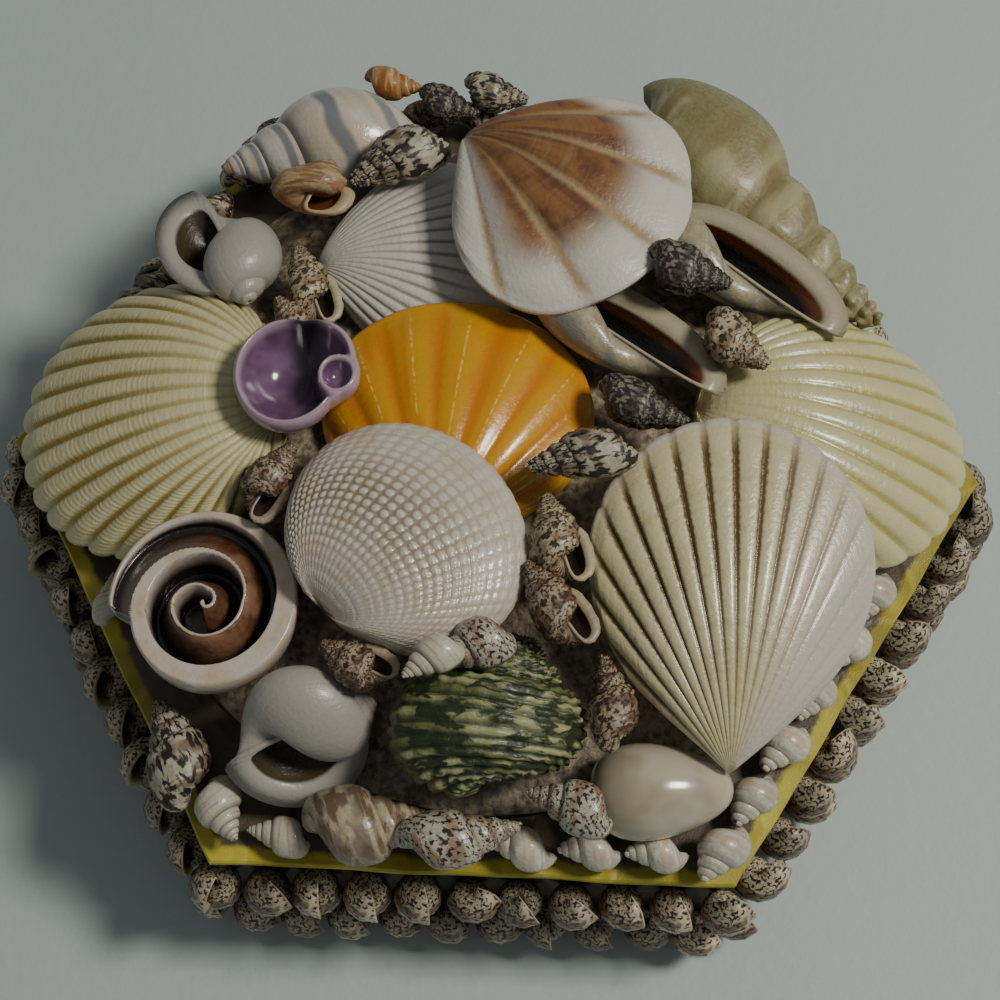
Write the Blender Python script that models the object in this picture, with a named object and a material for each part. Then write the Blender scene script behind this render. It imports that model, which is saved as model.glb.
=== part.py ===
"""Six-sided shell box: a card box and its lift-off lid, covered all over with glued sea shells.

The box stands on the XY plane with its centre on the Z axis. Its corners point along +X and -X,
and one flat side faces -Y. Sizes here are in millimetres, and make_object turns them into metres.

A shell is modelled in its own frame: +X is forward, +Z is up, and its middle is at the origin.
Forward is from hinge to rim on a valve, and from mouth to tip on a snail, whose mouth faces up.
Each shell on the lid is lowered until it touches what lies under it, in the order of gluing.
"""

import math
from dataclasses import dataclass

import bmesh
import bpy
import numpy as np
from mathutils import Matrix, Vector
from mathutils.bvhtree import BVHTree

MM = 0.001

# The card box and its lid
SIDES = 6
BODY_CORNER = 63.0
BODY_HEIGHT = 25.0
WALL = 2.6
FLOOR = 2.4
LID_CORNER = 65.0
LID_THICKNESS = 2.4
LID_STEP = 1.6
LID_STEP_CLEARANCE = 0.8
TOUCH_GAP = 0.3
SLIDE_COST = 0.8
LID_BOTTOM = BODY_HEIGHT + TOUCH_GAP
LID_TOP = LID_BOTTOM + LID_THICKNESS
FLAT = math.cos(math.pi / SIDES)

# The plaster mound that the lid's shells are bedded in
CORE_RISE = 6.5
CORE_REACH = 52.0
BED_DEPTH = 3.0
BED_EDGE = 49.0
BED_LEAST = 1.0
BED_RINGS = 7
BED_SPOKES = 24

# The two rows of whelks that stand round the box, tips down. Each touches the next in its row,
# and every second one stands a little higher and is turned a little on its tip.
WHELKS_IN_ROW = 62
WHELK_LENGTH = 11.8
WHELK_FATNESS = 1.06
LOWER_ROW_FOOT = 0.5
ROW_STAGGER = 0.25
ROW_TWIST = 8.0

LEAF = {
    "yellow_paper": ((0.50, 0.42, 0.05), 0.45),
    "plaster": ((0.42, 0.36, 0.28), 0.7),
    "cream_shell": ((0.74, 0.70, 0.50), 0.5),
    "ribbed_shell": ((0.72, 0.66, 0.50), 0.4),
    "orange_shell": ((0.85, 0.45, 0.05), 0.35),
    "pink_shell": ((0.66, 0.60, 0.55), 0.35),
    "brown_shell": ((0.50, 0.32, 0.22), 0.5),
    "white_shell": ((0.75, 0.73, 0.68), 0.35),
    "tan_shell": ((0.62, 0.54, 0.38), 0.45),
    "green_shell": ((0.25, 0.32, 0.14), 0.4),
    "violet_shell": ((0.42, 0.24, 0.42), 0.25),
    "spotted_shell": ((0.42, 0.37, 0.30), 0.45),
}


# ---------------------------------------------------------------- making objects


def material(slot):
    """The shared material of a slot."""
    found = bpy.data.materials.get(slot)
    if found:
        return found
    colour, roughness = LEAF[slot]
    made = bpy.data.materials.new(slot)
    made.use_nodes = True
    surface = made.node_tree.nodes["Principled BSDF"]
    surface.inputs["Base Color"].default_value = (*colour, 1.0)
    surface.inputs["Roughness"].default_value = roughness
    surface.inputs["Metallic"].default_value = 0.0
    return made


def make_object(name, points, faces, slot):
    """A named object from points in millimetres, with its faces turned outwards."""
    mesh = bpy.data.meshes.new(name)
    mesh.from_pydata([tuple(p) for p in np.asarray(points) * MM], [], faces)
    tool = bmesh.new()
    tool.from_mesh(mesh)
    bmesh.ops.recalc_face_normals(tool, faces=tool.faces)
    tool.to_mesh(mesh)
    tool.free()
    mesh.materials.append(material(slot))
    made = bpy.data.objects.new(name, mesh)
    bpy.context.scene.collection.objects.link(made)
    return made


def placed(points, centre, heading, lift=0.0, bank=0.0):
    """Points of a shell's own frame, turned and moved: heading in plan, lift of its front, bank."""
    turn = Matrix.Rotation(math.radians(heading), 3, "Z")
    turn = turn @ Matrix.Rotation(-math.radians(lift), 3, "Y")
    turn = turn @ Matrix.Rotation(math.radians(bank), 3, "X")
    return np.asarray(points) @ np.array(turn).T + np.array(centre)


def joined(shapes):
    """Several (points, faces) as one."""
    points, faces, start = [], [], 0
    for shape_points, shape_faces in shapes:
        points.extend(np.asarray(shape_points).tolist())
        faces.extend([tuple(start + i for i in face) for face in shape_faces])
        start = len(points)
    return np.array(points), faces


def fused(name, groups, slot):
    """One solid from groups of shapes, where only shapes of different groups touch."""
    parts = [make_object(f"{name}_group", *joined(group), slot) for group in groups]
    for other in parts[1:]:
        union = parts[0].modifiers.new("union", "BOOLEAN")
        union.operation = "UNION"
        union.object = other
    graph = bpy.context.evaluated_depsgraph_get()
    mesh = bpy.data.meshes.new_from_object(parts[0].evaluated_get(graph))
    for part in parts:
        bpy.data.objects.remove(part)
    mesh.name = name
    made = bpy.data.objects.new(name, mesh)
    bpy.context.scene.collection.objects.link(made)
    return made


def corner(radius, index):
    """A corner of the six-sided outline."""
    angle = 2 * math.pi * index / SIDES
    return np.array([radius * math.cos(angle), radius * math.sin(angle)])


def hexagon(radius, height):
    """The six corners at a height."""
    return [(*corner(radius, i), height) for i in range(SIDES)]


def stacked_rings(name, rings, slot):
    """A closed solid through rings of six corners, flat at the first and the last."""
    points = [p for ring in rings for p in ring]
    faces = [tuple(range(SIDES)), tuple(range(len(points) - SIDES, len(points)))]
    for k in range(len(rings) - 1):
        for i in range(SIDES):
            j = (i + 1) % SIDES
            low, high = k * SIDES, (k + 1) * SIDES
            faces.append((low + i, low + j, high + j, high + i))
    return make_object(name, points, faces, slot)


# ---------------------------------------------------------------- valves


@dataclass
class Valve:
    """One half of a bivalve. fan is the half angle at the hinge, and square how full its shoulders are."""

    height: float
    width: float
    dome: float
    ribs: int
    rib_depth: float
    fan: float
    square: float
    crown: float = 0.65
    hollow: float = 0.6
    rows: tuple = (0.16, 0.45, 0.74, 1.0)

    def outline(self, angle):
        """Distance from the hinge to the rim in a direction."""
        return math.cos(0.5 * math.pi * angle / math.radians(self.fan)) ** self.square

    def shape(self):
        """Points and faces: a ribbed dome over a hollow, open below."""
        columns = 2 * self.ribs
        fan = math.radians(self.fan)
        edge = 0.985
        angles = [edge * fan * (2 * i / columns - 1) for i in range(columns + 1)]
        widest = max(self.outline(a) * math.sin(a) for a in angles)
        across = 0.5 * self.width / (widest * self.height)
        points = [(-0.5 * self.height, 0.0, 0.0)]
        for t in self.rows:
            for i, a in enumerate(angles):
                reach = self.height * self.outline(a) * t
                crest = (i % 2) * self.rib_depth * min(1.0, 1.6 * t)
                reach += 0.5 * crest * (t == 1.0)
                side = math.cos(0.5 * math.pi * a / fan) ** 0.45
                swell = math.sin(math.pi * t**self.crown) ** 0.72 if t < 1 else 0.0
                points.append(
                    (
                        reach * math.cos(a) - 0.5 * self.height,
                        reach * math.sin(a) * across,
                        self.dome * swell * side + crest,
                    )
                )
        count = columns + 1
        faces = [(0, 1 + i, 2 + i) for i in range(columns)]
        for k in range(len(self.rows) - 1):
            for i in range(columns):
                a, b = 1 + k * count + i, 1 + (k + 1) * count + i
                faces.append((a, b, b + 1, a + 1))
        rim = 1 + (len(self.rows) - 1) * count
        middle = len(points)
        points.append((-0.05 * self.height, 0.0, self.hollow * self.dome))
        faces += [(middle, rim + i, rim + i + 1) for i in range(columns)]
        for start in (0, columns):
            chain = [0] + [1 + k * count + start for k in range(len(self.rows))]
            faces += [(middle, p, q) for p, q in zip(chain, chain[1:])]
        return np.array(points), faces


# ---------------------------------------------------------------- snails


@dataclass
class Snail:
    """A coiled shell. Its whorl is a rounded curve that grows as it turns about the axis.

    growth is how many times larger a whorl is than the one before, and mouth the share of the
    length that the mouth takes. hub is how near the axis the whorl's middle lies, boxy is below 1
    for square whorls, and depth is how deep the shell is from mouth to back, where round is 1.
    """

    length: float
    width: float
    mouth: float
    growth: float
    turns: float
    hub: float = 0.3
    boxy: float = 1.0
    sides: int = 6
    bands: int = 2
    base_bands: int = 2
    cavity: float = 0.0
    depth: float = 1.0

    def curve(self, angle):
        """(radius, distance from the tip) on the last whorl, from -90 degrees above to 90 below."""
        radius, half = 0.5 * self.width, 0.5 * self.mouth * self.length
        hub = self.hub * radius
        out, down = math.cos(angle), math.sin(angle)
        return (
            hub + (radius - hub) * abs(out) ** self.boxy,
            self.length - half + half * math.copysign(abs(down) ** self.boxy, down),
        )

    def seam(self):
        """The angles of the curve where the whorl above meets it, and where the next would."""
        radius, half = 0.5 * self.width, 0.5 * self.mouth * self.length
        hub, middle = self.hub * radius, self.length - half
        power = 2.0 / self.boxy

        def outside(angle):
            r, z = (self.growth * v for v in self.curve(angle))
            return (
                abs((r - hub) / (radius - hub)) ** power
                + abs((z - middle) / half) ** power
                - 1.0
            )

        low, high = -0.5 * math.pi, 0.0
        for _ in range(50):
            trial = 0.5 * (low + high)
            low, high = (low, trial) if outside(trial) > 0 else (trial, high)
        z = (self.growth * self.curve(low)[1] - middle) / half
        lower = math.asin(max(-1.0, min(1.0, math.copysign(abs(z) ** (1 / self.boxy), z))))
        return low, lower

    def shape(self):
        """Points and faces of the closed shell, from its tip down to its base and mouth."""
        upper, lower = self.seam()
        last = int(round(self.turns * self.sides))
        profile = [upper + (lower - upper) * p / self.bands for p in range(self.bands + 1)]
        end = math.radians(78)
        profile += [
            lower + (end - lower) * p / self.base_bands for p in range(1, self.base_bands + 1)
        ]
        count = len(profile)
        points, index = [], {}

        def vertex(n, p):
            if p == self.bands and n + self.sides <= last:
                return vertex(n + self.sides, 0)
            if (n, p) not in index:
                turn = 2 * math.pi * (n - last) / self.sides
                scale = self.growth ** ((n - last) / self.sides)
                r, z = self.curve(profile[p])
                index[n, p] = len(points)
                points.append(
                    (r * scale * math.cos(turn), r * scale * math.sin(turn), z * scale)
                )
            return index[n, p]

        faces = []
        for n in range(last):
            final = n + self.sides >= last
            for p in range(count - 1 if final else self.bands):
                faces.append(
                    (vertex(n, p), vertex(n + 1, p), vertex(n + 1, p + 1), vertex(n, p + 1))
                )
        start = last - self.sides
        faces = [f for f in faces if len(set(f)) == 4]
        tip = len(points)
        points.append((0.0, 0.0, 0.55 * min(p[2] for p in points)))
        rim = [vertex(n, 0) for n in range(self.sides + 1)]
        rim += [vertex(0, p) for p in range(self.bands - 1, 0, -1)] + [vertex(0, 0)]
        faces += [(tip, a, b) for a, b in zip(rim, rim[1:])]
        pole = len(points)
        points.append((0.0, 0.0, self.length))
        foot = [vertex(n, count - 1) for n in range(start, last + 1)]
        faces += [(pole, a, b) for a, b in zip(foot, foot[1:])]
        lip = [vertex(last, p) for p in range(count)]
        wall = [vertex(start, p) for p in range(count - 1, self.bands, -1)]
        faces += self.mouth_faces(points, [*lip, pole, *wall])
        points = np.array(points)
        # The tip goes to +X and the mouth, which faces the shell's own +Y, to +Z.
        middle, deep = 0.5 * self.length, self.depth * points[:, 1]
        return np.stack([middle - points[:, 2], -points[:, 0], deep], axis=1), faces

    def mouth_faces(self, points, ring):
        """The mouth: one flat face, or a rim and a hollow that runs back into the last whorl."""
        if not self.cavity:
            return [tuple(ring)]
        rim = np.array([points[i] for i in ring])
        centre = 0.5 * (rim.min(axis=0) + rim.max(axis=0))
        back = math.radians(-55)
        shrink = self.growth ** (back / (2 * math.pi))
        deep = shrink * np.array(
            [centre[0] * math.cos(back), centre[0] * math.sin(back), centre[2]]
        )
        start = len(points)
        points.extend((centre + self.cavity * (rim - centre)).tolist())
        points.append(deep.tolist())
        bottom, count = len(points) - 1, len(ring)
        faces = []
        for i in range(count):
            j = (i + 1) % count
            faces.append((ring[i], ring[j], start + j, start + i))
            faces.append((start + i, start + j, bottom))
        return faces


def spindle(length, width, sides, levels):
    """A small snail for a row, in few faces, by its girth at shares of the way from its tip."""
    points = [(0.5 * length, 0.0, 0.0)]
    for along, share in levels:
        for i in range(sides):
            turn = 2 * math.pi * (i + 0.5) / sides
            points.append(
                (
                    (0.5 - along) * length,
                    0.5 * width * share * math.cos(turn),
                    0.5 * width * share * math.sin(turn),
                )
            )
    points.append((-0.5 * length, 0.0, 0.0))
    faces = []
    for i in range(sides):
        j = (i + 1) % sides
        faces.append((0, 1 + i, 1 + j))
        for k in range(len(levels) - 1):
            low, high = 1 + k * sides, 1 + (k + 1) * sides
            faces.append((low + i, low + j, high + j, high + i))
        top = 1 + (len(levels) - 1) * sides
        faces.append((top + i, top + j, len(points) - 1))
    return np.array(points), faces


def egg(length, width, height, rings=6, sides=10):
    """A smooth cowrie lying on its flat side: blunt behind and pointed in front."""
    points, faces = [(0.5 * length, 0.0, 0.3 * height)], []
    for k in range(1, rings):
        along = math.cos(math.pi * k / rings)
        girth = math.sin(math.pi * k / rings) ** 0.8 * (1.0 - 0.16 * along)
        for i in range(sides):
            turn = 2 * math.pi * i / sides
            up = math.sin(turn)
            points.append(
                (
                    0.5 * length * along,
                    0.5 * width * girth * math.cos(turn),
                    0.35 * height + height * girth * (0.65 * up if up > 0 else 0.3 * up),
                )
            )
    points.append((-0.5 * length, 0.0, 0.35 * height))
    for i in range(sides):
        j = (i + 1) % sides
        faces.append((0, 1 + i, 1 + j))
        for k in range(rings - 2):
            low, high = 1 + k * sides, 1 + (k + 1) * sides
            faces.append((low + i, low + j, high + j, high + i))
        top = 1 + (rings - 2) * sides
        faces.append((top + i, top + j, len(points) - 1))
    return np.array(points), faces


def sawn_slice(radius, height, turns=2.4, steps=14):
    """A disc cut from a whelk, seen as (disc, groove): the groove is the whorl's spiral channel."""
    sides = 22
    disc, disc_faces = [], []
    for level, share in ((0.0, 0.72), (0.35, 0.97), (1.0, 1.0)):
        for i in range(sides):
            turn = 2 * math.pi * i / sides
            disc.append(
                (radius * share * math.cos(turn), radius * share * math.sin(turn), height * level)
            )
    for k in range(2):
        for i in range(sides):
            j = (i + 1) % sides
            low, high = k * sides, (k + 1) * sides
            disc_faces.append((low + i, low + j, high + j, high + i))
    disc_faces += [tuple(range(sides)), tuple(range(2 * sides, 3 * sides))]
    groove, groove_faces = [], []
    count = int(turns * steps)
    for k in range(count + 1):
        turn = math.radians(180) - 2 * math.pi * k / steps
        middle = 0.64 * radius * math.exp(-0.62 * k / steps)
        half = 0.23 * middle
        for z in (0.22 * height, 1.5 * height):
            for r in (middle - half, middle + half):
                groove.append((r * math.cos(turn), r * math.sin(turn), z))
    for k in range(count):
        a, b = 4 * k, 4 * k + 4
        groove_faces.append((a, a + 1, b + 1, b))
        groove_faces.append((a + 2, b + 2, b + 3, a + 3))
        groove_faces.append((a, b, b + 2, a + 2))
        groove_faces.append((a + 1, a + 3, b + 3, b + 1))
    end = 4 * count
    groove_faces += [(0, 2, 3, 1), (end, end + 1, end + 3, end + 2)]
    shift = np.array([0.0, 0.0, -0.5 * height])
    return (np.array(disc) + shift, disc_faces), (np.array(groove) + shift, groove_faces)


# ---------------------------------------------------------------- settling


def core_height(x, y):
    """Height of the firm mound that shells come to rest on, under the soft top of the bed."""
    away = math.hypot(x, y)
    if away > BED_EDGE + 1.0:
        return LID_TOP + 0.1
    return LID_TOP + 1.9 + CORE_RISE * (1.0 - (away / CORE_REACH) ** 2)


def scattered(points, faces, spacing):
    """The points of a shape and more along its edges and across its faces."""
    pairs = {tuple(sorted(p)) for f in faces for p in zip(f, f[1:] + f[:1])}
    samples = list(points)
    for a, b in pairs:
        steps = int(np.linalg.norm(points[a] - points[b]) / spacing) + 1
        samples += [points[a] + (points[b] - points[a]) * s / steps for s in range(1, steps)]
    samples += [points[list(f)].mean(axis=0) for f in faces]
    return np.array(samples)


class Heap:
    """The shells that lie on the lid so far."""

    def __init__(self):
        self.points = []
        self.faces = []
        self.samples = []

    def drop(self, points, faces):
        """How far a shape has to move up, or down, to rest on the mound and the shells."""
        middle = 0.5 * (points.min(axis=0) + points.max(axis=0))
        spread = 1.0 + 2.0 * TOUCH_GAP / (points.max(axis=0) - points.min(axis=0))
        grown = middle + (points - middle) * [spread[0], spread[1], 1.0]
        samples = scattered(grown, faces, 0.8)
        clear = min(z - core_height(x, y) for x, y, z in samples)
        if self.samples:
            high = np.array([0.0, 0.0, 100.0])
            below = BVHTree.FromPolygons(self.points, self.faces)
            for p in samples:
                hit = below.ray_cast(Vector(p + high), Vector((0.0, 0.0, -1.0)))
                if hit[0]:
                    clear = min(clear, p[2] - hit[0].z)
            above = BVHTree.FromPolygons((grown + high).tolist(), faces)
            low, top = grown.min(axis=0), grown.max(axis=0)
            others = np.concatenate(self.samples)
            inside = np.all((others[:, :2] > low[:2]) & (others[:, :2] < top[:2]), axis=1)
            for p in others[inside]:
                hit = above.ray_cast(Vector(p), Vector((0.0, 0.0, 1.0)))
                if hit[0]:
                    clear = min(clear, hit[0].z - 100.0 - p[2])
        return TOUCH_GAP - clear

    def add(self, points, faces):
        """Keeps a settled shape for the ones that come after it."""
        start = len(self.points)
        self.points.extend(points.tolist())
        self.faces.extend([tuple(start + i for i in face) for face in faces])
        self.samples.append(scattered(points, faces, 0.8))

    def settle(self, points, faces, slide):
        """How far a shape moves to rest, when it may slide sideways to lie lower."""
        moves = [np.array([0.0, 0.0, self.drop(points, faces)])]
        for k in range(8):
            turn = 2 * math.pi * k / 8
            side = slide * np.array([math.cos(turn), math.sin(turn), 0.0])
            for share in (0.5, 1.0) if slide else ():
                move = share * side
                moves.append(move + [0.0, 0.0, self.drop(points + move, faces)])
        return min(moves, key=lambda move: move[2] + SLIDE_COST * math.hypot(move[0], move[1]))


def glue_bed(heap):
    """The plaster between the shells: a mound pressed down wherever a shell lies on it."""
    ring = BED_EDGE / BED_RINGS
    tree = BVHTree.FromPolygons(heap.points, heap.faces)
    up = Vector((0.0, 0.0, 1.0))
    room = {}

    def press(x, y, z):
        cell = int(math.hypot(x, y) / ring)
        turn = math.atan2(y, x) % (2 * math.pi)
        sector = int(turn / (2 * math.pi) * BED_SPOKES) % BED_SPOKES
        room[cell, sector] = min(room.get((cell, sector), 1e9), z - 0.35)

    step = 0.8
    reach = int((BED_EDGE + 2.0) / step)
    for i in range(-reach, reach + 1):
        for j in range(-reach, reach + 1):
            hit = tree.ray_cast(Vector((i * step, j * step, LID_TOP + 0.02)), up)
            if hit[0]:
                press(i * step, j * step, hit[0].z)
    for x, y, z in heap.points:
        if math.hypot(x, y) < BED_EDGE + 2.0:
            press(x, y, z)

    def top(k, s):
        """Height of the bed at a crossing of its rings and spokes."""
        r, turn = k * ring, 2 * math.pi * s / BED_SPOKES
        height = core_height(r * math.cos(turn), r * math.sin(turn)) + BED_DEPTH * (k < BED_RINGS)
        sectors = range(BED_SPOKES) if k == 0 else (s - 1, s)
        near = [(c, t % BED_SPOKES) for c in (k - 1, k) for t in sectors]
        return max(LID_TOP + BED_LEAST, min([height] + [room[n] for n in near if n in room]))

    points = [(0.0, 0.0, top(0, 0))]
    for k in range(1, BED_RINGS + 1):
        for s in range(BED_SPOKES):
            turn = 2 * math.pi * s / BED_SPOKES
            points.append((k * ring * math.cos(turn), k * ring * math.sin(turn), top(k, s)))
    foot = len(points)
    for s in range(BED_SPOKES):
        turn = 2 * math.pi * s / BED_SPOKES
        x, y = BED_EDGE * math.cos(turn), BED_EDGE * math.sin(turn)
        points.append((x, y, LID_TOP + TOUCH_GAP))
    faces = [tuple(range(foot, foot + BED_SPOKES))]
    for s in range(BED_SPOKES):
        t = (s + 1) % BED_SPOKES
        faces.append((0, 1 + s, 1 + t))
        for k in range(BED_RINGS - 1):
            low, high = 1 + k * BED_SPOKES, 1 + (k + 1) * BED_SPOKES
            faces.append((low + s, high + s, high + t))
            faces.append((low + s, high + t, low + t))
        last = foot - BED_SPOKES
        faces.append((last + s, foot + s, foot + t, last + t))
    make_object("glue_bed", points, faces, "plaster")


# ---------------------------------------------------------------- the shells


def whelk(length, width):
    """A small whelk or a shell like it, by its length and its width as a share of that."""
    return Snail(length, width * length, 0.54, 1.5, 3.5, boxy=0.75, bands=1)


@dataclass
class Place:
    """Where a shell lies: its middle in plan, its heading, how far its front lifts, and its bank."""

    name: str
    kind: object
    slot: str
    x: float
    y: float
    heading: float
    lift: float = 0.0
    bank: float = 0.0
    slide: float = 0.0


COCKLE_LEFT = Valve(37.0, 39.0, 9.0, 15, 0.8, fan=88, square=0.95)
COCKLE_RIGHT = Valve(37.0, 35.5, 8.5, 14, 0.9, fan=88, square=0.95)
CANCELLATE = Valve(27.5, 32.5, 7.0, 15, 0.4, fan=88, square=0.9)
RIBBED = Valve(43.5, 35.0, 6.0, 14, 0.9, fan=52, square=0.4)
ORANGE = Valve(34.0, 35.0, 7.0, 8, 0.8, fan=58, square=0.45)
BROWN_WHITE = Valve(33.0, 34.5, 5.0, 6, 1.2, fan=60, square=0.4)
WHITE = Valve(28.5, 30.0, 5.0, 12, 0.5, fan=60, square=0.45)
CONCH = Snail(51, 21.0, 0.5, 1.45, 4.0, sides=9, depth=0.9)
STROMBUS = Snail(35, 15.0, 0.7, 1.75, 3, boxy=0.9, sides=8, cavity=0.7, depth=0.8)
STROMBUS_SMALL = Snail(32, 13.5, 0.7, 1.75, 3, boxy=0.9, sides=8, cavity=0.7, depth=0.8)
MOON_CUT = Snail(18.5, 22, 0.84, 1.8, 2.0, hub=0.2, sides=9, base_bands=3, cavity=0.78, depth=0.6)
MOON_UPPER = Snail(21, 19, 0.8, 2.0, 1.8, hub=0.2, sides=9, base_bands=3, cavity=0.78, depth=0.8)
VIOLET = Snail(16, 21, 0.92, 5.0, 1.2, hub=0.15, sides=9, base_bands=3, cavity=0.85, depth=0.7)
TURBAN = Snail(22.5, 28, 0.66, 1.8, 2.5, hub=0.2, boxy=0.85, sides=10, base_bands=3, depth=0.72)
BANDED = Snail(33, 20, 0.62, 1.7, 2.5, sides=9)

# In the order of gluing
ON_LID = (
    Place("cockle_left", COCKLE_LEFT, "cream_shell", -44.5, 0.5, 184, -11),
    Place("cockle_right", COCKLE_RIGHT, "cream_shell", 43.5, 1.0, -7, -11),
    Place("conch_tan", CONCH, "tan_shell", 35.7, 33.0, -47, 0, 190),
    Place("moon_shell_cut", MOON_CUT, "white_shell", -21.0, -42.0, 7, 0, 45),
    Place("white_cowrie", None, "cream_shell", 22.6, -46.8, 2),
    Place("green_turban", TURBAN, "green_shell", 3.3, -39.0, 80, 8, 195),
    Place("scallop_ribbed", RIBBED, "ribbed_shell", 30.0, -24.2, 91, 18),
    Place("spiral_slice", None, "pink_shell", -34.4, -26.0, 0, 0, 0, 0.8),
    Place("moon_shell_upper", MOON_UPPER, "white_shell", -36.2, 21.2, -68, 8, 0, 0.8),
    Place("banded_turban", BANDED, "white_shell", -26.1, 43.0, 201, 5, 170),
    Place("scallop_white", WHITE, "white_shell", -11.0, 24.2, 6, 8),
    Place("scallop_orange", ORANGE, "orange_shell", -5.2, -1.2, 84, 13),
    Place("strombus_upper", STROMBUS, "tan_shell", 29.3, 22.3, 143),
    Place("strombus_lower", STROMBUS_SMALL, "tan_shell", 14.4, 10.6, 147),
    Place("scallop_brown_white", BROWN_WHITE, "brown_shell", 7.5, 29.0, -34, 6),
    Place("cockle_cancellate", CANCELLATE, "pink_shell", -9.8, -18.8, 46, 9, 0, 0.8),
    Place("violet_snail", VIOLET, "violet_shell", -24.8, 4.2, 3),
)


def small(name, x, y, heading, length, width=0.58, slot="spotted_shell", bank=180.0, slide=1.6):
    """A small snail by its place: bank is 0 with the mouth up, and 180 with the back up."""
    return Place(name, whelk(length, width), slot, x, y, heading, 0.0, bank, slide)


SMALL_SHELLS = (
    small("small_whelk_orange_side", 19.3, 1.4, -20, 13.4, 0.56, slide=2.2),
    small("small_whelk_striped", 10.6, -9.8, -160, 14.6, 0.56, slide=2.0),
    small("small_whelk_mid", 8.2, -16.8, 109, 13.0, 0.64, bank=0),
    small("small_whelk_long_mouth", 9.2, -25.6, 126, 14.0, 0.54, bank=0),
    small("small_whelk_front", 14.2, -35.8, 106, 13.2, 0.56, slide=2.4),
    small("small_whelk_back", -14.6, 35.0, -144, 16.2, 0.58, slide=2.4),
    small("broken_brown_whelk", -24.8, 32.8, 165, 12.6, 0.7),
    small("small_whelk_by_moon", -27.6, 20.8, 112, 13.4, 0.6, bank=0, slide=2.2),
    small("tiny_cream_whelk", -29.0, 14.6, 128, 9.2, 0.62, slide=2.2),
    small("small_whelk_left", -26.4, -12.0, 60, 12.6, 0.6, bank=0, slide=2.2),
    small("zigzag_whelk", -36.0, -41.2, 118, 16.0, 0.6, slide=2.4),
    small("cream_stub", -32.6, -49.4, -57, 9.2, 0.76, "cream_shell", slide=2.4),
    small("small_white_snail", -26.6, -52.8, 174, 8.6, 0.66, "white_shell", slide=2.4),
    small("dove_shell", -12.2, -50.0, 14, 16.6, 0.72, slide=2.2),
    small("spotted_cone", -0.9, -51.6, 17, 16.4, 0.54, "white_shell", slide=2.0),
    small("spotted_cone_small", 12.2, -48.4, 166, 11.6, 0.66, "white_shell"),
    small("blotched_whelk", -1.2, -31.2, -150, 10.8, 0.7, slide=2.4),
    small("striped_snail", -6.0, -36.2, -140, 8.8, 0.66, "white_shell", slide=2.4),
    small("broken_mouth_whelk", -12.8, -35.2, 150, 11.2, 0.66, bank=0, slide=2.4),
    small("yellow_striped_whelk", -2.0, 53.6, -9, 10.2, 0.68),
    small("dark_striped_whelk", -8.6, 51.6, -17, 10.0, 0.66),
    small("orange_snail", -16.8, 54.2, -3, 9.4, 0.62, "orange_shell"),
    small("dark_whelk_right", 24.6, 16.4, -17, 12.2, 0.66),
    small("round_whelk_right", 29.8, 8.6, -35, 11.4, 0.68, slide=2.4),
    small("pearly_snail", -47.2, -21.6, 95, 8.0, 0.66, "white_shell"),
)


@dataclass
class Border:
    """A row of small snails along a side of the lid, each with its tip against the one before."""

    name: str
    slot: str
    side: int
    start: float
    count: int
    pitch: float = 7.5
    width: float = 5.8
    inset: float = 3.4


BORDERS = (
    Border("border_front", "white_shell", 4, 38.6, 3, 8.0, 6.2, 2.8),
    Border("border_front_right", "white_shell", 5, 1.6, 6, 7.9, 6.4, 4.4),
    Border("border_back_right", "white_shell", 0, 11.0, 6),
    Border("border_back", "spotted_shell", 1, 7.0, 7),
    Border("border_back_left", "spotted_shell", 2, 7.0, 6),
)


# ---------------------------------------------------------------- the box


def box_body():
    """A six-sided tray of thick card, open at the top."""
    inner = BODY_CORNER - WALL / FLAT
    rings = (
        hexagon(BODY_CORNER, 0.0),
        hexagon(BODY_CORNER, BODY_HEIGHT),
        hexagon(inner, BODY_HEIGHT),
        hexagon(inner, FLOOR),
    )
    stacked_rings("box_body", rings, "yellow_paper")


def lid_board():
    """A six-sided board, with a smaller board under it that drops into the box."""
    step = BODY_CORNER - (WALL + LID_STEP_CLEARANCE) / FLAT
    rings = (
        hexagon(step, LID_BOTTOM - LID_STEP),
        hexagon(step, LID_BOTTOM),
        hexagon(LID_CORNER, LID_BOTTOM),
        hexagon(LID_CORNER, LID_TOP),
    )
    stacked_rings("lid_board", rings, "yellow_paper")


def whelk_row(name, foot, shift, levels):
    """A ring of whelks round the box, standing on their tips, shifted by a share of a whelk."""
    # The row's corner radius and the whelks' width fix each other, as the whelks fill the row.
    share = SIDES / WHELKS_IN_ROW
    reach = (BODY_CORNER + TOUCH_GAP / FLAT) / (1.0 - 0.5 * WHELK_FATNESS * share)
    width = WHELK_FATNESS * share * reach
    groups = ([], [])
    for n in range(WHELKS_IN_ROW):
        along = share * (n + shift)
        side = int(along)
        spot = corner(reach, side) + (corner(reach, side + 1) - corner(reach, side)) * (along - side)
        points, faces = spindle(WHELK_LENGTH, width, 6, levels)
        odd = n % 2
        centre = (*spot, foot + 0.5 * WHELK_LENGTH + ROW_STAGGER * odd)
        groups[odd].append((placed(points, centre, 0.0, -90.0, ROW_TWIST * odd), faces))
    fused(name, groups, "spotted_shell")


# ---------------------------------------------------------------- putting it together


def shell_shape(place):
    """The points and faces of a shell in its own frame, and the cutter of a sawn one."""
    if place.name == "spiral_slice":
        return sawn_slice(11.6, 6.5)
    if place.name == "white_cowrie":
        return egg(17.5, 12.0, 9.5), None
    return place.kind.shape(), None


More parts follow.
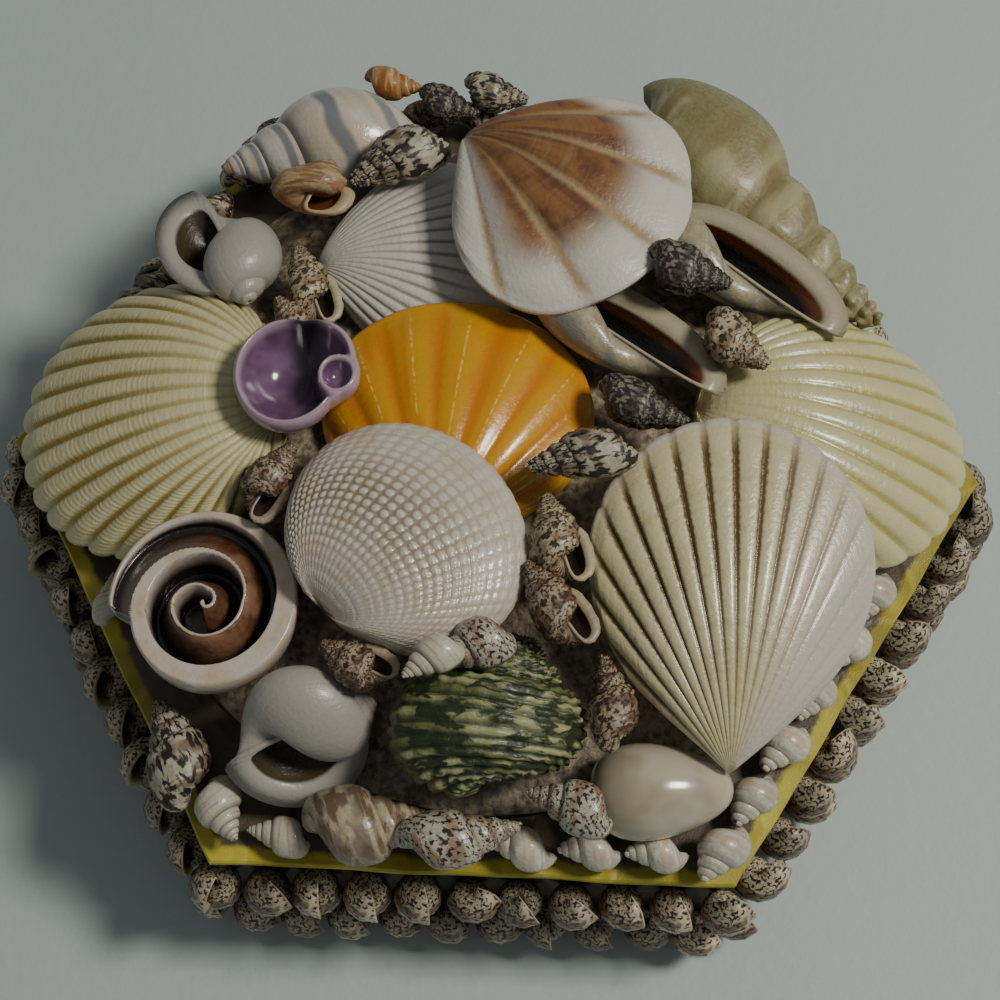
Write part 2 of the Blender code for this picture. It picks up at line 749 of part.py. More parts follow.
def lay(place, heap):
    """A shell made at its place, resting on what is already there."""
    (points, faces), groove = shell_shape(place)
    centre = (place.x, place.y, 0.0)
    turned = placed(points, centre, place.heading, place.lift, place.bank)
    move = heap.settle(turned, faces, place.slide)
    heap.add(turned + move, faces)
    shell = make_object(place.name, turned + move, faces, place.slot)
    if groove:
        groove_points = placed(groove[0], centre, place.heading, place.lift, place.bank)
        cutter = make_object("slice_groove", groove_points + move, groove[1], place.slot)
        cutter.hide_render = True
        cutter.display_type = "WIRE"
        cut = shell.modifiers.new("groove", "BOOLEAN")
        cut.operation = "DIFFERENCE"
        cut.object = cutter


def border(row, heap):
    """One border row, fused where its snails touch."""
    begin, end = corner(LID_CORNER, row.side), corner(LID_CORNER, row.side + 1)
    along = (end - begin) / np.linalg.norm(end - begin)
    inward = np.array([-along[1], along[0]])
    heading = math.degrees(math.atan2(-along[1], -along[0]))
    groups = ([], [])
    for i in range(row.count):
        points, faces = spindle(row.pitch + 0.8, row.width, 6, ((0.42, 0.76), (0.78, 1.0)))
        spot = begin + along * (row.start + i * row.pitch) + inward * row.inset
        rest = placed(points, (*spot, 0.0), heading)
        rest += [0.0, 0.0, LID_TOP + TOUCH_GAP - rest[:, 2].min()]
        heap.add(rest, faces)
        groups[i % 2].append((rest, faces))
    fused(row.name, groups, row.slot)


def main():
    for old in list(bpy.data.objects):
        bpy.data.objects.remove(old)
    box_body()
    lid_board()
    whelk_row("whelks_lower_row", LOWER_ROW_FOOT, 0.0, ((0.8, 1.0),))
    upper_foot = LOWER_ROW_FOOT + WHELK_LENGTH + TOUCH_GAP
    whelk_row("whelks_upper_row", upper_foot, 0.5, ((0.45, 0.84), (0.86, 1.0)))
    heap = Heap()
    for row in BORDERS:
        border(row, heap)
    for place in ON_LID + SMALL_SHELLS:
        lay(place, heap)
    glue_bed(heap)


main()
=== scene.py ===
"""The finished look of a hexagonal shell box: shells, whelk rows, plaster, paper and studio.

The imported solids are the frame. Each piece is modelled in millimetres in its own frame, with +X
from hinge to rim or from mouth to tip and +Z up, then turned, fitted to the box of its solid,
and given a procedural finish. Sizes and colours that a user would change are in ShellBoxLook.
"""

import math
from dataclasses import dataclass

import bmesh
import bpy
import numpy as np
from mathutils import Matrix, Vector


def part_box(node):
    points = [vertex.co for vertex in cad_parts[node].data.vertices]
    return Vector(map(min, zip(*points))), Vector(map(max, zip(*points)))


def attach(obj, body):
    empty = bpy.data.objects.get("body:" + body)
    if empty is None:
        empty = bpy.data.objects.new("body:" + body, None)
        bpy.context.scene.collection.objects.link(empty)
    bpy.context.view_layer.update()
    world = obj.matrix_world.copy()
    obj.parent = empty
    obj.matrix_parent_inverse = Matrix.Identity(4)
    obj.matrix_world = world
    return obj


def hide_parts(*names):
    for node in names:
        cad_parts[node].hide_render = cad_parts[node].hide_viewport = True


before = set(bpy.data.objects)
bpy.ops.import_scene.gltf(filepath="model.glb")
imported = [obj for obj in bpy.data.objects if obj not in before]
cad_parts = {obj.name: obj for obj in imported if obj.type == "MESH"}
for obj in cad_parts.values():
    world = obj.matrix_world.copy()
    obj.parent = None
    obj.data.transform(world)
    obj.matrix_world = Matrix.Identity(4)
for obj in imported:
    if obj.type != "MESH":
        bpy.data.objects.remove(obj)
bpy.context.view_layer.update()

bl_info = {
    "name": "Shell box look",
    "version": (1, 0, 0),
    "blender": (4, 5, 0),
    "location": "3D View > Sidebar > Shell box",
    "description": "Builds the finished pieces of a shell box around its solids",
    "category": "Object",
}

MM = 0.001
SIDES = 6


def rgb(red, green, blue):
    """A display colour of 0 to 255 as the linear colour that shaders take."""
    shares = (c / 255 for c in (red, green, blue))
    return tuple(c / 12.92 if c <= 0.04045 else ((c + 0.055) / 1.055) ** 2.4 for c in shares)


# ---------------------------------------------------------------- node trees


def node(tree, kind, values=None, out=0, **settings):
    """Adds a node, with constants or links in its inputs, and returns one of its outputs."""
    made = tree.nodes.new(kind)
    for key, value in settings.items():
        setattr(made, key, value)
    for key, value in (values or {}).items():
        if isinstance(value, bpy.types.NodeSocket):
            tree.links.new(value, made.inputs[key])
        elif made.inputs[key].type == "RGBA":
            made.inputs[key].default_value = (*value[:3], 1.0)
        else:
            made.inputs[key].default_value = value
    return made.outputs[out]


def sums(tree, operation, *values):
    """A Math node."""
    return node(tree, "ShaderNodeMath", dict(enumerate(values)), operation=operation)


def mix(tree, share, low, high, blend="MIX"):
    """A colour between two. Of Mix's sockets, 6, 7 and output 2 are the ones for colours."""
    values = {0: share, 6: low, 7: high}
    return node(tree, "ShaderNodeMix", values, 2, data_type="RGBA", blend_type=blend)


def fade(tree, value, low, high):
    """0 where a value is under low, 1 where it is over high, and smooth between."""
    values = {"Value": value, "From Min": low, "From Max": high}
    return node(tree, "ShaderNodeMapRange", values, interpolation_type="SMOOTHSTEP")


def times(tree, *values):
    """The product of two numbers."""
    return sums(tree, "MULTIPLY", *values)


def fall(tree, value, low, high):
    """The reverse of fade: 1 where a value is under low, and 0 where it is over high."""
    return sums(tree, "SUBTRACT", 1.0, fade(tree, value, low, high))


def noise(tree, vector, scale, detail=3.0, roughness=0.55, distortion=0.0):
    """Soft noise about 0.5."""
    values = {"Vector": vector, "Scale": scale, "Detail": detail}
    values.update({"Roughness": roughness, "Distortion": distortion})
    return node(tree, "ShaderNodeTexNoise", values)


class Finish:
    """A material whose tree is written a step at a time. Its patterns lie on Object coordinates."""

    def __init__(self, name, roughness=0.4, coat=0.0, subsurface=0.0):
        self.material = bpy.data.materials.new(name)
        self.material.use_nodes = True
        self.tree = self.material.node_tree
        self.surface = self.tree.nodes["Principled BSDF"]
        self.surface.inputs["Roughness"].default_value = roughness
        self.surface.inputs["Coat Weight"].default_value = coat
        self.surface.inputs["Coat Roughness"].default_value = 0.12
        if subsurface:
            self.surface.inputs["Subsurface Weight"].default_value = subsurface
            self.surface.inputs["Subsurface Radius"].default_value = (0.9, 0.75, 0.55)
            self.surface.inputs["Subsurface Scale"].default_value = 0.0012
        self.place = node(self.tree, "ShaderNodeTexCoord", out="Object")

    def attribute(self, name):
        """A number stored on the piece's points."""
        return node(self.tree, "ShaderNodeAttribute", out="Fac", attribute_name=name)

    def along_shell(self, along, across):
        """A vector that follows growth: along and across the shell, with their own scales."""
        values = {
            "X": times(self.tree, self.attribute("along"), along),
            "Y": times(self.tree, self.attribute("across"), across),
            "Z": self.attribute("inside"),
        }
        return node(self.tree, "ShaderNodeCombineXYZ", values)

    def noise(self, scale, **more):
        """Noise over the piece, by its scale per metre."""
        return noise(self.tree, self.place, scale, **more)

    def colour(self, socket):
        """Sets the base colour."""
        self.tree.links.new(socket, self.surface.inputs["Base Color"])

    def roughness(self, socket, low, high):
        """Roughness that follows a pattern."""
        values = {"Value": socket, "To Min": low, "To Max": high}
        span = node(self.tree, "ShaderNodeMapRange", values)
        self.tree.links.new(span, self.surface.inputs["Roughness"])

    def bump(self, height, distance):
        """Fine relief, with its depth in metres."""
        values = {"Height": height, "Distance": distance, "Strength": 1.0}
        normal = node(self.tree, "ShaderNodeBump", values)
        self.tree.links.new(normal, self.surface.inputs["Normal"])


# ---------------------------------------------------------------- geometry trees


class Recipe:
    """A Geometry Nodes tree under construction, with named inputs for its sizes."""

    def __init__(self, name):
        self.tree = bpy.data.node_groups.new(name, "GeometryNodeTree")
        self.socket("Geometry", "OUTPUT", "Geometry")
        self.entry = self.tree.nodes.new("NodeGroupInput")

    def socket(self, name, way, kind):
        """A socket of the tree itself."""
        self.tree.interface.new_socket(name, in_out=way, socket_type=f"NodeSocket{kind}")

    def input(self, name, kind):
        """A named input."""
        self.socket(name, "INPUT", kind)
        return self.entry.outputs[name]

    def add(self, kind, values=None, out=0, **settings):
        """A node, by its kind after GeometryNode, or by its full name."""
        full = kind if kind.startswith(("Shader", "Function")) else f"GeometryNode{kind}"
        return node(self.tree, full, values, out, **settings)

    def finish(self, geometry, material):
        """Ends the tree: instances made real, and the material set."""
        real = self.add("RealizeInstances", {"Geometry": geometry})
        painted = self.add("SetMaterial", {"Geometry": real, "Material": material})
        group_output = self.tree.nodes.new("NodeGroupOutput")
        self.tree.links.new(painted, group_output.inputs[0])
        return self.tree


def add_object(name, data):
    """A new object in the scene."""
    made = bpy.data.objects.new(name, data)
    bpy.context.scene.collection.objects.link(made)
    return made


def worked_mesh(made):
    """A plain mesh of an object with its modifiers worked in, which then go."""
    graph = bpy.context.evaluated_depsgraph_get()
    mesh = bpy.data.meshes.new_from_object(made.evaluated_get(graph))
    made.modifiers.clear()
    return mesh


def run_recipe(made, tree, **values):
    """Applies a tree to an object, by its inputs' names, and leaves a plain mesh."""
    step = made.modifiers.new("recipe", "NODES")
    step.node_group = tree
    wanted = {name.replace("_", " "): value for name, value in values.items()}
    for socket in tree.interface.items_tree:
        if socket.item_type == "SOCKET" and socket.in_out == "INPUT" and socket.name in wanted:
            step[socket.identifier] = wanted.pop(socket.name)
    if wanted:
        raise RuntimeError(f"{tree.name} has no input {sorted(wanted)}")
    mesh = worked_mesh(made)
    if made.type == "MESH":
        made.data = mesh
        return made
    plain = add_object(made.name + "_mesh", mesh)
    bpy.data.objects.remove(made)
    return plain


def relief_recipe():
    """Ribs that fan out across a shell, and rings that follow its growth, along its normals."""
    found = bpy.data.node_groups.get("shell_relief")
    if found:
        return found
    recipe = Recipe("shell_relief")
    geometry = recipe.input("Geometry", "Geometry")
    sizes = ("Ribs", "Rib Depth", "Rib Fullness", "Rings", "Ring Depth", "Bead Share")
    ribs, depth, fullness, rings, ring_depth, beads = (recipe.input(s, "Float") for s in sizes)
    material = recipe.input("Material", "Material")

    def attribute(name):
        return recipe.add("InputNamedAttribute", {"Name": name}, data_type="FLOAT")

    def calc(operation, *values):
        return sums(recipe.tree, operation, *values)

    along, across = attribute("along"), attribute("across")
    phase = calc("FRACT", calc("MULTIPLY", across, ribs))
    arch = calc("SINE", calc("MULTIPLY", phase, math.pi))
    rib = calc("POWER", calc("MAXIMUM", arch, 0.0), fullness)
    rib_height = calc("MULTIPLY", calc("MULTIPLY", rib, depth), attribute("rib_mask"))
    grown = calc("MULTIPLY", calc("MULTIPLY", along, rings), 2 * math.pi)
    ring = calc("MULTIPLY_ADD", calc("SINE", grown), 0.5, 0.5)
    on_rib = calc("ADD", calc("SUBTRACT", 1.0, beads), calc("MULTIPLY", beads, rib))
    ring_height = calc("MULTIPLY", calc("MULTIPLY", ring, on_rib), ring_depth)
    ring_height = calc("MULTIPLY", ring_height, attribute("ring_mask"))
    normal = recipe.add("InputNormal")
    height = calc("ADD", rib_height, ring_height)
    offset = recipe.add("ShaderNodeVectorMath", {0: normal, "Scale": height}, operation="SCALE")
    geometry = recipe.add("SetPosition", {"Geometry": geometry, "Offset": offset})
    for name, value in (("rib", rib), ("ring", ring)):
        geometry = recipe.add(
            "StoreNamedAttribute",
            {"Geometry": geometry, "Name": name, "Value": value},
            data_type="FLOAT",
            domain="POINT",
        )
    return recipe.finish(geometry, material)


def raise_relief(made, material, ribs, rings, fullness, beads):
    """Works ribs and rings into a shell, each (how many, how high in millimetres)."""
    return run_recipe(
        made,
        relief_recipe(),
        Ribs=float(ribs[0]),
        Rib_Depth=ribs[1] * MM,
        Rib_Fullness=fullness,
        Rings=float(rings[0]),
        Ring_Depth=rings[1] * MM,
        Bead_Share=beads,
        Material=material,
    )


# ---------------------------------------------------------------- pieces


def piece(name, points, faces, marks=None):
    """An object from points in millimetres, with numbers stored on the points."""
    mesh = bpy.data.meshes.new(name)
    mesh.from_pydata([tuple(p) for p in np.asarray(points) * MM], [], faces)
    for key, values in (marks or {}).items():
        layer = mesh.attributes.new(key, "FLOAT", "POINT")
        layer.data.foreach_set("value", np.asarray(values, dtype=np.float32))
    tool = bmesh.new()
    tool.from_mesh(mesh)
    bmesh.ops.recalc_face_normals(tool, faces=tool.faces)
    tool.to_mesh(mesh)
    tool.free()
    mesh.shade_smooth()
    return add_object(name, mesh)


def get_points(mesh):
    """A mesh's points as an array."""
    flat = np.empty(3 * len(mesh.vertices), dtype=np.float32)
    mesh.vertices.foreach_get("co", flat)
    return flat.reshape(-1, 3).astype(float)


def set_points(mesh, points):
    """Moves a mesh's points."""
    mesh.vertices.foreach_set("co", points.astype(np.float32).ravel())
    mesh.update()


def turn(points, heading, lift=0.0, bank=0.0):
    """Points turned as the solids are: bank, then lift of the front, then heading."""
    spin = Matrix.Rotation(math.radians(heading), 3, "Z")
    spin = spin @ Matrix.Rotation(-math.radians(lift), 3, "Y")
    spin = spin @ Matrix.Rotation(math.radians(bank), 3, "X")
    return np.asarray(points) @ np.array(spin).T


def box_mm(node_name):
    """The low and high corners of a solid's box, in millimetres."""
    low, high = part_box(node_name)
    return np.array(low) / MM, np.array(high) / MM


def fit(points, node_name):
    """Points scaled and moved into the box of a solid."""
    low, high = (np.array(v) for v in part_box(node_name))
    least, most = points.min(axis=0), points.max(axis=0)
    return low + (points - least) * (high - low) / (most - least)


def stand_for(made, node_name, heading=0.0, lift=0.0, bank=0.0):
    """Lays a finished piece in its solid's place and ties it to the frame."""
    set_points(made.data, fit(turn(get_points(made.data), heading, lift, bank), node_name))
    tie(made, node_name)


def tie(made, *node_names):
    """The piece rides on the box and stands for these solids."""
    made.name = made.data.name = node_names[0] + "_look"
    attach(made, "root")
    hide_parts(*node_names)


def smooth(value, low, high):
    """0 under low, 1 over high, and smooth between."""
    share = np.clip((np.asarray(value, dtype=float) - low) / (high - low), 0.0, 1.0)
    return share * share * (3.0 - 2.0 * share)


def everywhere(across, along):
    """A mask that leaves relief as it is."""
    return np.ones_like(across)


def spoke_faces(steps, column):
    """Faces of a closed body made of columns of points, from its middle over its rim to its base.

    Its last two points are the middle of its top and the middle of its base.
    """
    top, base = steps * column, steps * column + 1
    faces = []
    for k in range(steps):
        a, b = k * column, (k + 1) % steps * column
        faces.append((top, a, b))
        faces += [(a + i, a + i + 1, b + i + 1, b + i) for i in range(column - 1)]
        faces.append((base, b + column - 1, a + column - 1))
    return faces


# ---------------------------------------------------------------- valves


@dataclass
class Valve:
    """One half of a bivalve. Its outline and dome are the solid's, and the rest is its relief.

    fan is the half angle at the hinge, square how full the shoulders are, crown below 1 for a
    dome that is highest near the hinge, and steep how sharply it falls to the rim. spread below 1
    lets the ribs leave the hinge fast and then run side by side. scallop is how far each rib juts
    out at the rim, and wave how far the rim goes up and down. mask and ring_mask say where ribs
    and rings show, from across and along the shell.
    """

    height: float
    width: float
    dome: float
    ribs: float
    rib_depth: float
    fan: float
    square: float
    fullness: float = 0.6
    rings: float = 0.0
    ring_depth: float = 0.0
    beads: float = 1.0
    steep: float = 0.72
    crown: float = 0.65
    wall: float = 0.8
    scallop: float = 0.012
    wave: float = 0.0
    spread: float = 1.0
    rows: int = 96
    per_rib: int = 10
    mask: object = everywhere
    ring_mask: object = everywhere

    def surface(self, along, across):
        """Points of the smooth inner side, at shares along and across the shell."""
        fan = math.radians(self.fan)
        inside_fan = 0.985 * fan
        angle = inside_fan * (2 * across - 1)
        full = np.cos(0.5 * math.pi * angle / fan)
        sweep = inside_fan * np.linspace(-1.0, 1.0, 181)
        outline = np.cos(0.5 * math.pi * sweep / fan) ** self.square
        stretch = 0.5 * self.width / (self.height * np.max(outline * np.sin(sweep)))
        rib = np.abs(np.sin(math.pi * across * self.ribs)) ** self.fullness
        reach = self.height * full**self.square * along
        reach = reach * (1.0 + self.scallop * rib * along**3 * self.mask(across, along))
        dome = np.sin(math.pi * np.clip(along, 0.0, 1.0) ** self.crown) ** self.steep
        ripple = self.wave * np.sin(2 * math.pi * 2.5 * across + 1.0) * along**4
        return np.stack(
            [
                reach * np.cos(angle) - 0.5 * self.height,
                reach * np.sin(angle) * stretch * np.maximum(along, 1e-4) ** (self.spread - 1.0),
                self.dome * np.maximum(dome, 0.0) * full**0.45 + ripple,
            ],
            axis=-1,
        )

    def make(self, name, material):
        """The finished valve, in its own frame."""
        columns = int(self.ribs * self.per_rib)
        skip = 8
        count = columns + 1
        across = np.linspace(0.0, 1.0, count)
        outer_along = np.linspace(0.03, 1.0, self.rows + 1)
        inner_along = outer_along[::skip]
        points, marks = [], []

        def sheet(alongs, lift, inside):
            for along in alongs:
                row = self.surface(np.full(count, along), across)
                row[:, 2] += lift
                points.extend(row.tolist())
                mask = self.mask(across, np.full(count, along)) * min(1.0, 1.6 * along)
                mask = mask * smooth(across, 0.0, 0.03) * smooth(1 - across, 0.0, 0.03)
                mask = mask * (1 - inside) * (1 - 0.7 * float(smooth(along, 0.9, 1.0)))
                ringed = mask * self.ring_mask(across, np.full(count, along))
                for u, m, r in zip(across, mask, ringed):
                    marks.append((along, u, m, r, inside))

        sheet(outer_along, self.wall, 0.0)
        inner_start = len(points)
        sheet(inner_along, 0.0, 1.0)
        hinge = len(points)
        tip = self.surface(np.array([0.0]), np.array([0.5]))[0]
        points.extend([(tip + [0, 0, self.wall]).tolist(), tip.tolist()])
        marks.extend([(0.0, 0.5, 0.0, 0.0, 0.0), (0.0, 0.5, 0.0, 0.0, 1.0)])
        faces = []
        for start, rows in ((0, len(outer_along)), (inner_start, len(inner_along))):
            for k in range(rows - 1):
                for i in range(columns):
                    a, b = start + k * count + i, start + (k + 1) * count + i
                    faces.append((a, b, b + 1, a + 1) if start == 0 else (a, a + 1, b + 1, b))
        for i in range(columns):
            faces.append((hinge, i, i + 1))
            faces.append((hinge + 1, inner_start + i + 1, inner_start + i))
            rim = (len(outer_along) - 1) * count
            under = inner_start + (len(inner_along) - 1) * count
            faces.append((rim + i, under + i, under + i + 1, rim + i + 1))
        for side in (0, columns):
            faces.append((hinge, hinge + 1, inner_start + side, side))
            for k in range(len(inner_along) - 1):
                outer = [(k * skip + s) * count + side for s in range(skip + 1)]
                inner = [inner_start + (k + j) * count + side for j in (1, 0)]
                faces.append(tuple(outer + inner))
        along, over, rib_mask, ring_mask, inside = np.array(marks).T
        stored = dict(along=along, across=over, rib_mask=rib_mask, ring_mask=ring_mask)
        stored["inside"] = inside
        made = piece(name, points, faces, stored)
        ribs, rings = (self.ribs, self.rib_depth), (self.rings, self.ring_depth)
        return raise_relief(made, material, ribs, rings, self.fullness, self.beads)


# ---------------------------------------------------------------- coiled shells


@dataclass
class Coil:
    """A coiled shell: a tube that grows as it winds about the axis, open at its mouth.

    growth is how many times larger a whorl is than the one before, mouth the share of the length
    that the mouth takes, hub how near the axis the tube's middle lies, boxy below 1 for square
    whorls and depth how deep the shell is from mouth to back. wall and slit narrow the mouth's
    hollow, which goes cave of a turn in, and flare widens the lip. Cords run along the tube, and
    folds across it, so many to a turn. mask and fold_mask say where they show.
    """

    length: float
    width: float
    mouth: float
    growth: float
    hub: float = 0.3
    boxy: float = 1.0
    depth: float = 1.0
    first: float = 0.1
    wall: float = 0.09
    slit: float = 0.0
    cave: float = 0.6
    flare: float = 0.05
    cords: float = 0.0
    cord_depth: float = 0.0
    fullness: float = 0.8
    folds: float = 0.0
    fold_depth: float = 0.0
    beads: float = 0.0
    sides: int = 24
    outer: int = 14
    inner: int = 5
    mask: object = everywhere
    fold_mask: object = everywhere

    def section(self, angle, inner=False):
        """(radius, distance from the tip) of the last whorl's section at an angle."""
        radius, half = 0.5 * self.width, 0.5 * self.mouth * self.length
        hub = self.hub * radius
        out, down = np.abs(np.cos(angle)), np.sin(angle)
        reach = -0.92 * hub * out if inner else (radius - hub) * out**self.boxy
        return hub + reach, self.length - half + half * np.sign(down) * np.abs(down) ** self.boxy

    def seam(self):
        """The angle of the section where the whorl comes out from under the one before."""
        radius, half = 0.5 * self.width, 0.5 * self.mouth * self.length
        hub, middle, power = self.hub * radius, self.length - half, 2.0 / self.boxy
        angles = np.linspace(-0.5 * math.pi, 0.0, 200)
        r, z = (self.growth * v for v in self.section(angles))
        outside = np.abs((r - hub) / (radius - hub)) ** power + np.abs((z - middle) / half) ** power
        hidden = np.nonzero(outside < 1.0)[0]
        return float(angles[hidden[-1]]) if len(hidden) else -0.5 * math.pi

    def make(self, name, material):
        """The finished shell, in its own frame, mouth up."""
        half_turn = 0.5 * math.pi
        outer = np.linspace(-half_turn, half_turn, self.outer + 1)
        inner = np.linspace(half_turn, -half_turn, self.inner + 2)[1:-1]
        seam = self.seam()
        sections = zip(self.section(outer), self.section(inner, True))
        radii, levels = (np.concatenate(pair) for pair in sections)
        share = (outer - seam) / (half_turn - seam)
        shares = np.concatenate([share, np.ones(len(inner))])
        shows = np.concatenate([smooth(share, -0.02, 0.08), np.zeros(len(inner))])
        centre = np.array([self.hub * 0.5 * self.width, self.length * (1 - 0.5 * self.mouth)])
        count = len(radii)
        turns = math.log(1.0 / self.first) / math.log(self.growth)
        last = int(turns * self.sides)
        points, marks = [], []

        def ring(step, factor, inside, lip):
            """One ring of the tube. lip is 1 at the mouth's edge and 0 away from it."""
            turned = 2 * math.pi * step / self.sides
            scale = self.growth ** (step / self.sides)
            narrow = 1.0 - self.slit * inside
            r = (centre[0] + (radii - centre[0]) * factor * narrow) * scale
            z = (centre[1] + (levels - centre[1]) * factor) * scale
            points.extend(np.stack([r * math.cos(turned), r * math.sin(turned), z], -1).tolist())
            age = np.full(count, (step + last) / self.sides)
            mask = self.mask(shares, age) * shows * (1 - inside)
            fold = self.fold_mask(shares, age) * shows * (1 - inside)
            hollow = inside * (step < 0)
            for s, m, f in zip(shares, mask, fold):
                marks.append((age[0], s, m, f, hollow, lip, scale))

        for step in range(-last, 1):
            near = float(smooth(step / self.sides, -0.16, 0.0))
            ring(step, 1.0 + self.flare * near**2, 0.0, near)
        back = int(self.cave * self.sides)
        for step in range(0, -back - 1, -1):
            swell = 1.0 + self.flare * float(smooth(step / self.sides, -0.16, 0.0)) ** 2
            ring(step, (1.0 - self.wall) * swell, 1.0, 1.0 + step / self.sides / self.cave)
        rows = last + 1 + back + 1
        faces = []
        for k in range(rows - 1):
            for i in range(count):
                j = (i + 1) % count
                a, b = k * count, (k + 1) * count
                faces.append((a + i, b + i, b + j, a + j))
        for row in (0, rows - 1):
            middle = np.mean(points[row * count : (row + 1) * count], axis=0)
            points.append(middle.tolist())
            marks.append(marks[row * count])
            tip = len(points) - 1
            faces += [(tip, row * count + i, row * count + (i + 1) % count) for i in range(count)]
        points = np.array(points)
        placed = [0.5 * self.length - points[:, 2], -points[:, 0], self.depth * points[:, 1]]
        keys = ("along", "across", "rib_mask", "ring_mask", "inside", "lip", "age")
        made = piece(name, np.stack(placed, axis=1), faces, dict(zip(keys, np.array(marks).T)))
        cords, folds = (self.cords, self.cord_depth), (self.folds, self.fold_depth)
        return raise_relief(made, material, cords, folds, self.fullness, self.beads)


# ---------------------------------------------------------------- finishes


def valve_finish(
    name,
    crest,
    groove,
    stain,
    stain_share=0.5,
    edges=(0.25, 0.95),
    netted=False,
    lines=70.0,
    streaks=None,
    rim=None,
    side=None,
    ridge_highlight=None,
    gloss=(0.35, 0.55),
    coat=0.15,
    depth=0.00012,
):
    """Ribs paler than their grooves, which carry partly their own colour and partly painted shade,
    with stains, growth lines and streaks from hinge to rim.

    edges are the heights between which groove turns to crest, and netted lets the rings part the
    ribs. streaks is (how many, colour, share), rim is (colour, from, to) along the shell, and side
    is (colour, from, to) across it. The rib-top highlight is (colour, from, to): a painted
    highlight on the ribs' tops.
    """
    made = Finish(name, coat=coat, subsurface=0.08)
    tree = made.tree
    rib, along, mask = (made.attribute(key) for key in ("rib", "along", "rib_mask"))
    if netted:
        rib = times(tree, rib, sums(tree, "SQRT", made.attribute("ring")))
    coarse, fine = made.noise(240), made.noise(1500, detail=4.0)
    growth = noise(tree, made.along_shell(lines, 2.5), 1.0, 2.0)
    worn = sums(tree, "ADD", rib, sums(tree, "MULTIPLY_ADD", fine, 0.35, -0.17))
    low = times(tree, fall(tree, worn, *edges), mask)
    spread = times(tree, fade(tree, coarse, 0.42, 0.68), stain_share)
    colour = mix(tree, spread, crest, stain)
    if streaks:
        number, tint, most = streaks
        ray = noise(tree, made.along_shell(1.3, number), 1.0, 2.0)
        colour = mix(tree, times(tree, fade(tree, ray, 0.48, 0.62), most), colour, tint)
    colour = mix(tree, times(tree, fade(tree, growth, 0.52, 0.75), 0.2), colour, groove)
    if rim:
        colour = mix(tree, fade(tree, along, *rim[1:]), colour, rim[0])
    if side:
        colour = mix(tree, fade(tree, made.attribute("across"), *side[1:]), colour, side[0])
    # Painted highlight: a bright colour on the very tops of the ribs, broken up by fine noise.
    if ridge_highlight:
        top = times(tree, fade(tree, rib, *ridge_highlight[1:]), fade(tree, fine, 0.4, 0.6))
        colour = mix(tree, times(tree, top, mask), colour, ridge_highlight[0])
    # The grooves between the ribs take the groove colour: partly the shell's own colour there,
    # partly painted shade in the recesses.
    colour = mix(tree, low, colour, groove)
    made.colour(colour)
    made.roughness(fine, *gloss)
    made.bump(sums(tree, "MULTIPLY_ADD", growth, 0.7, fine), depth)
    return made


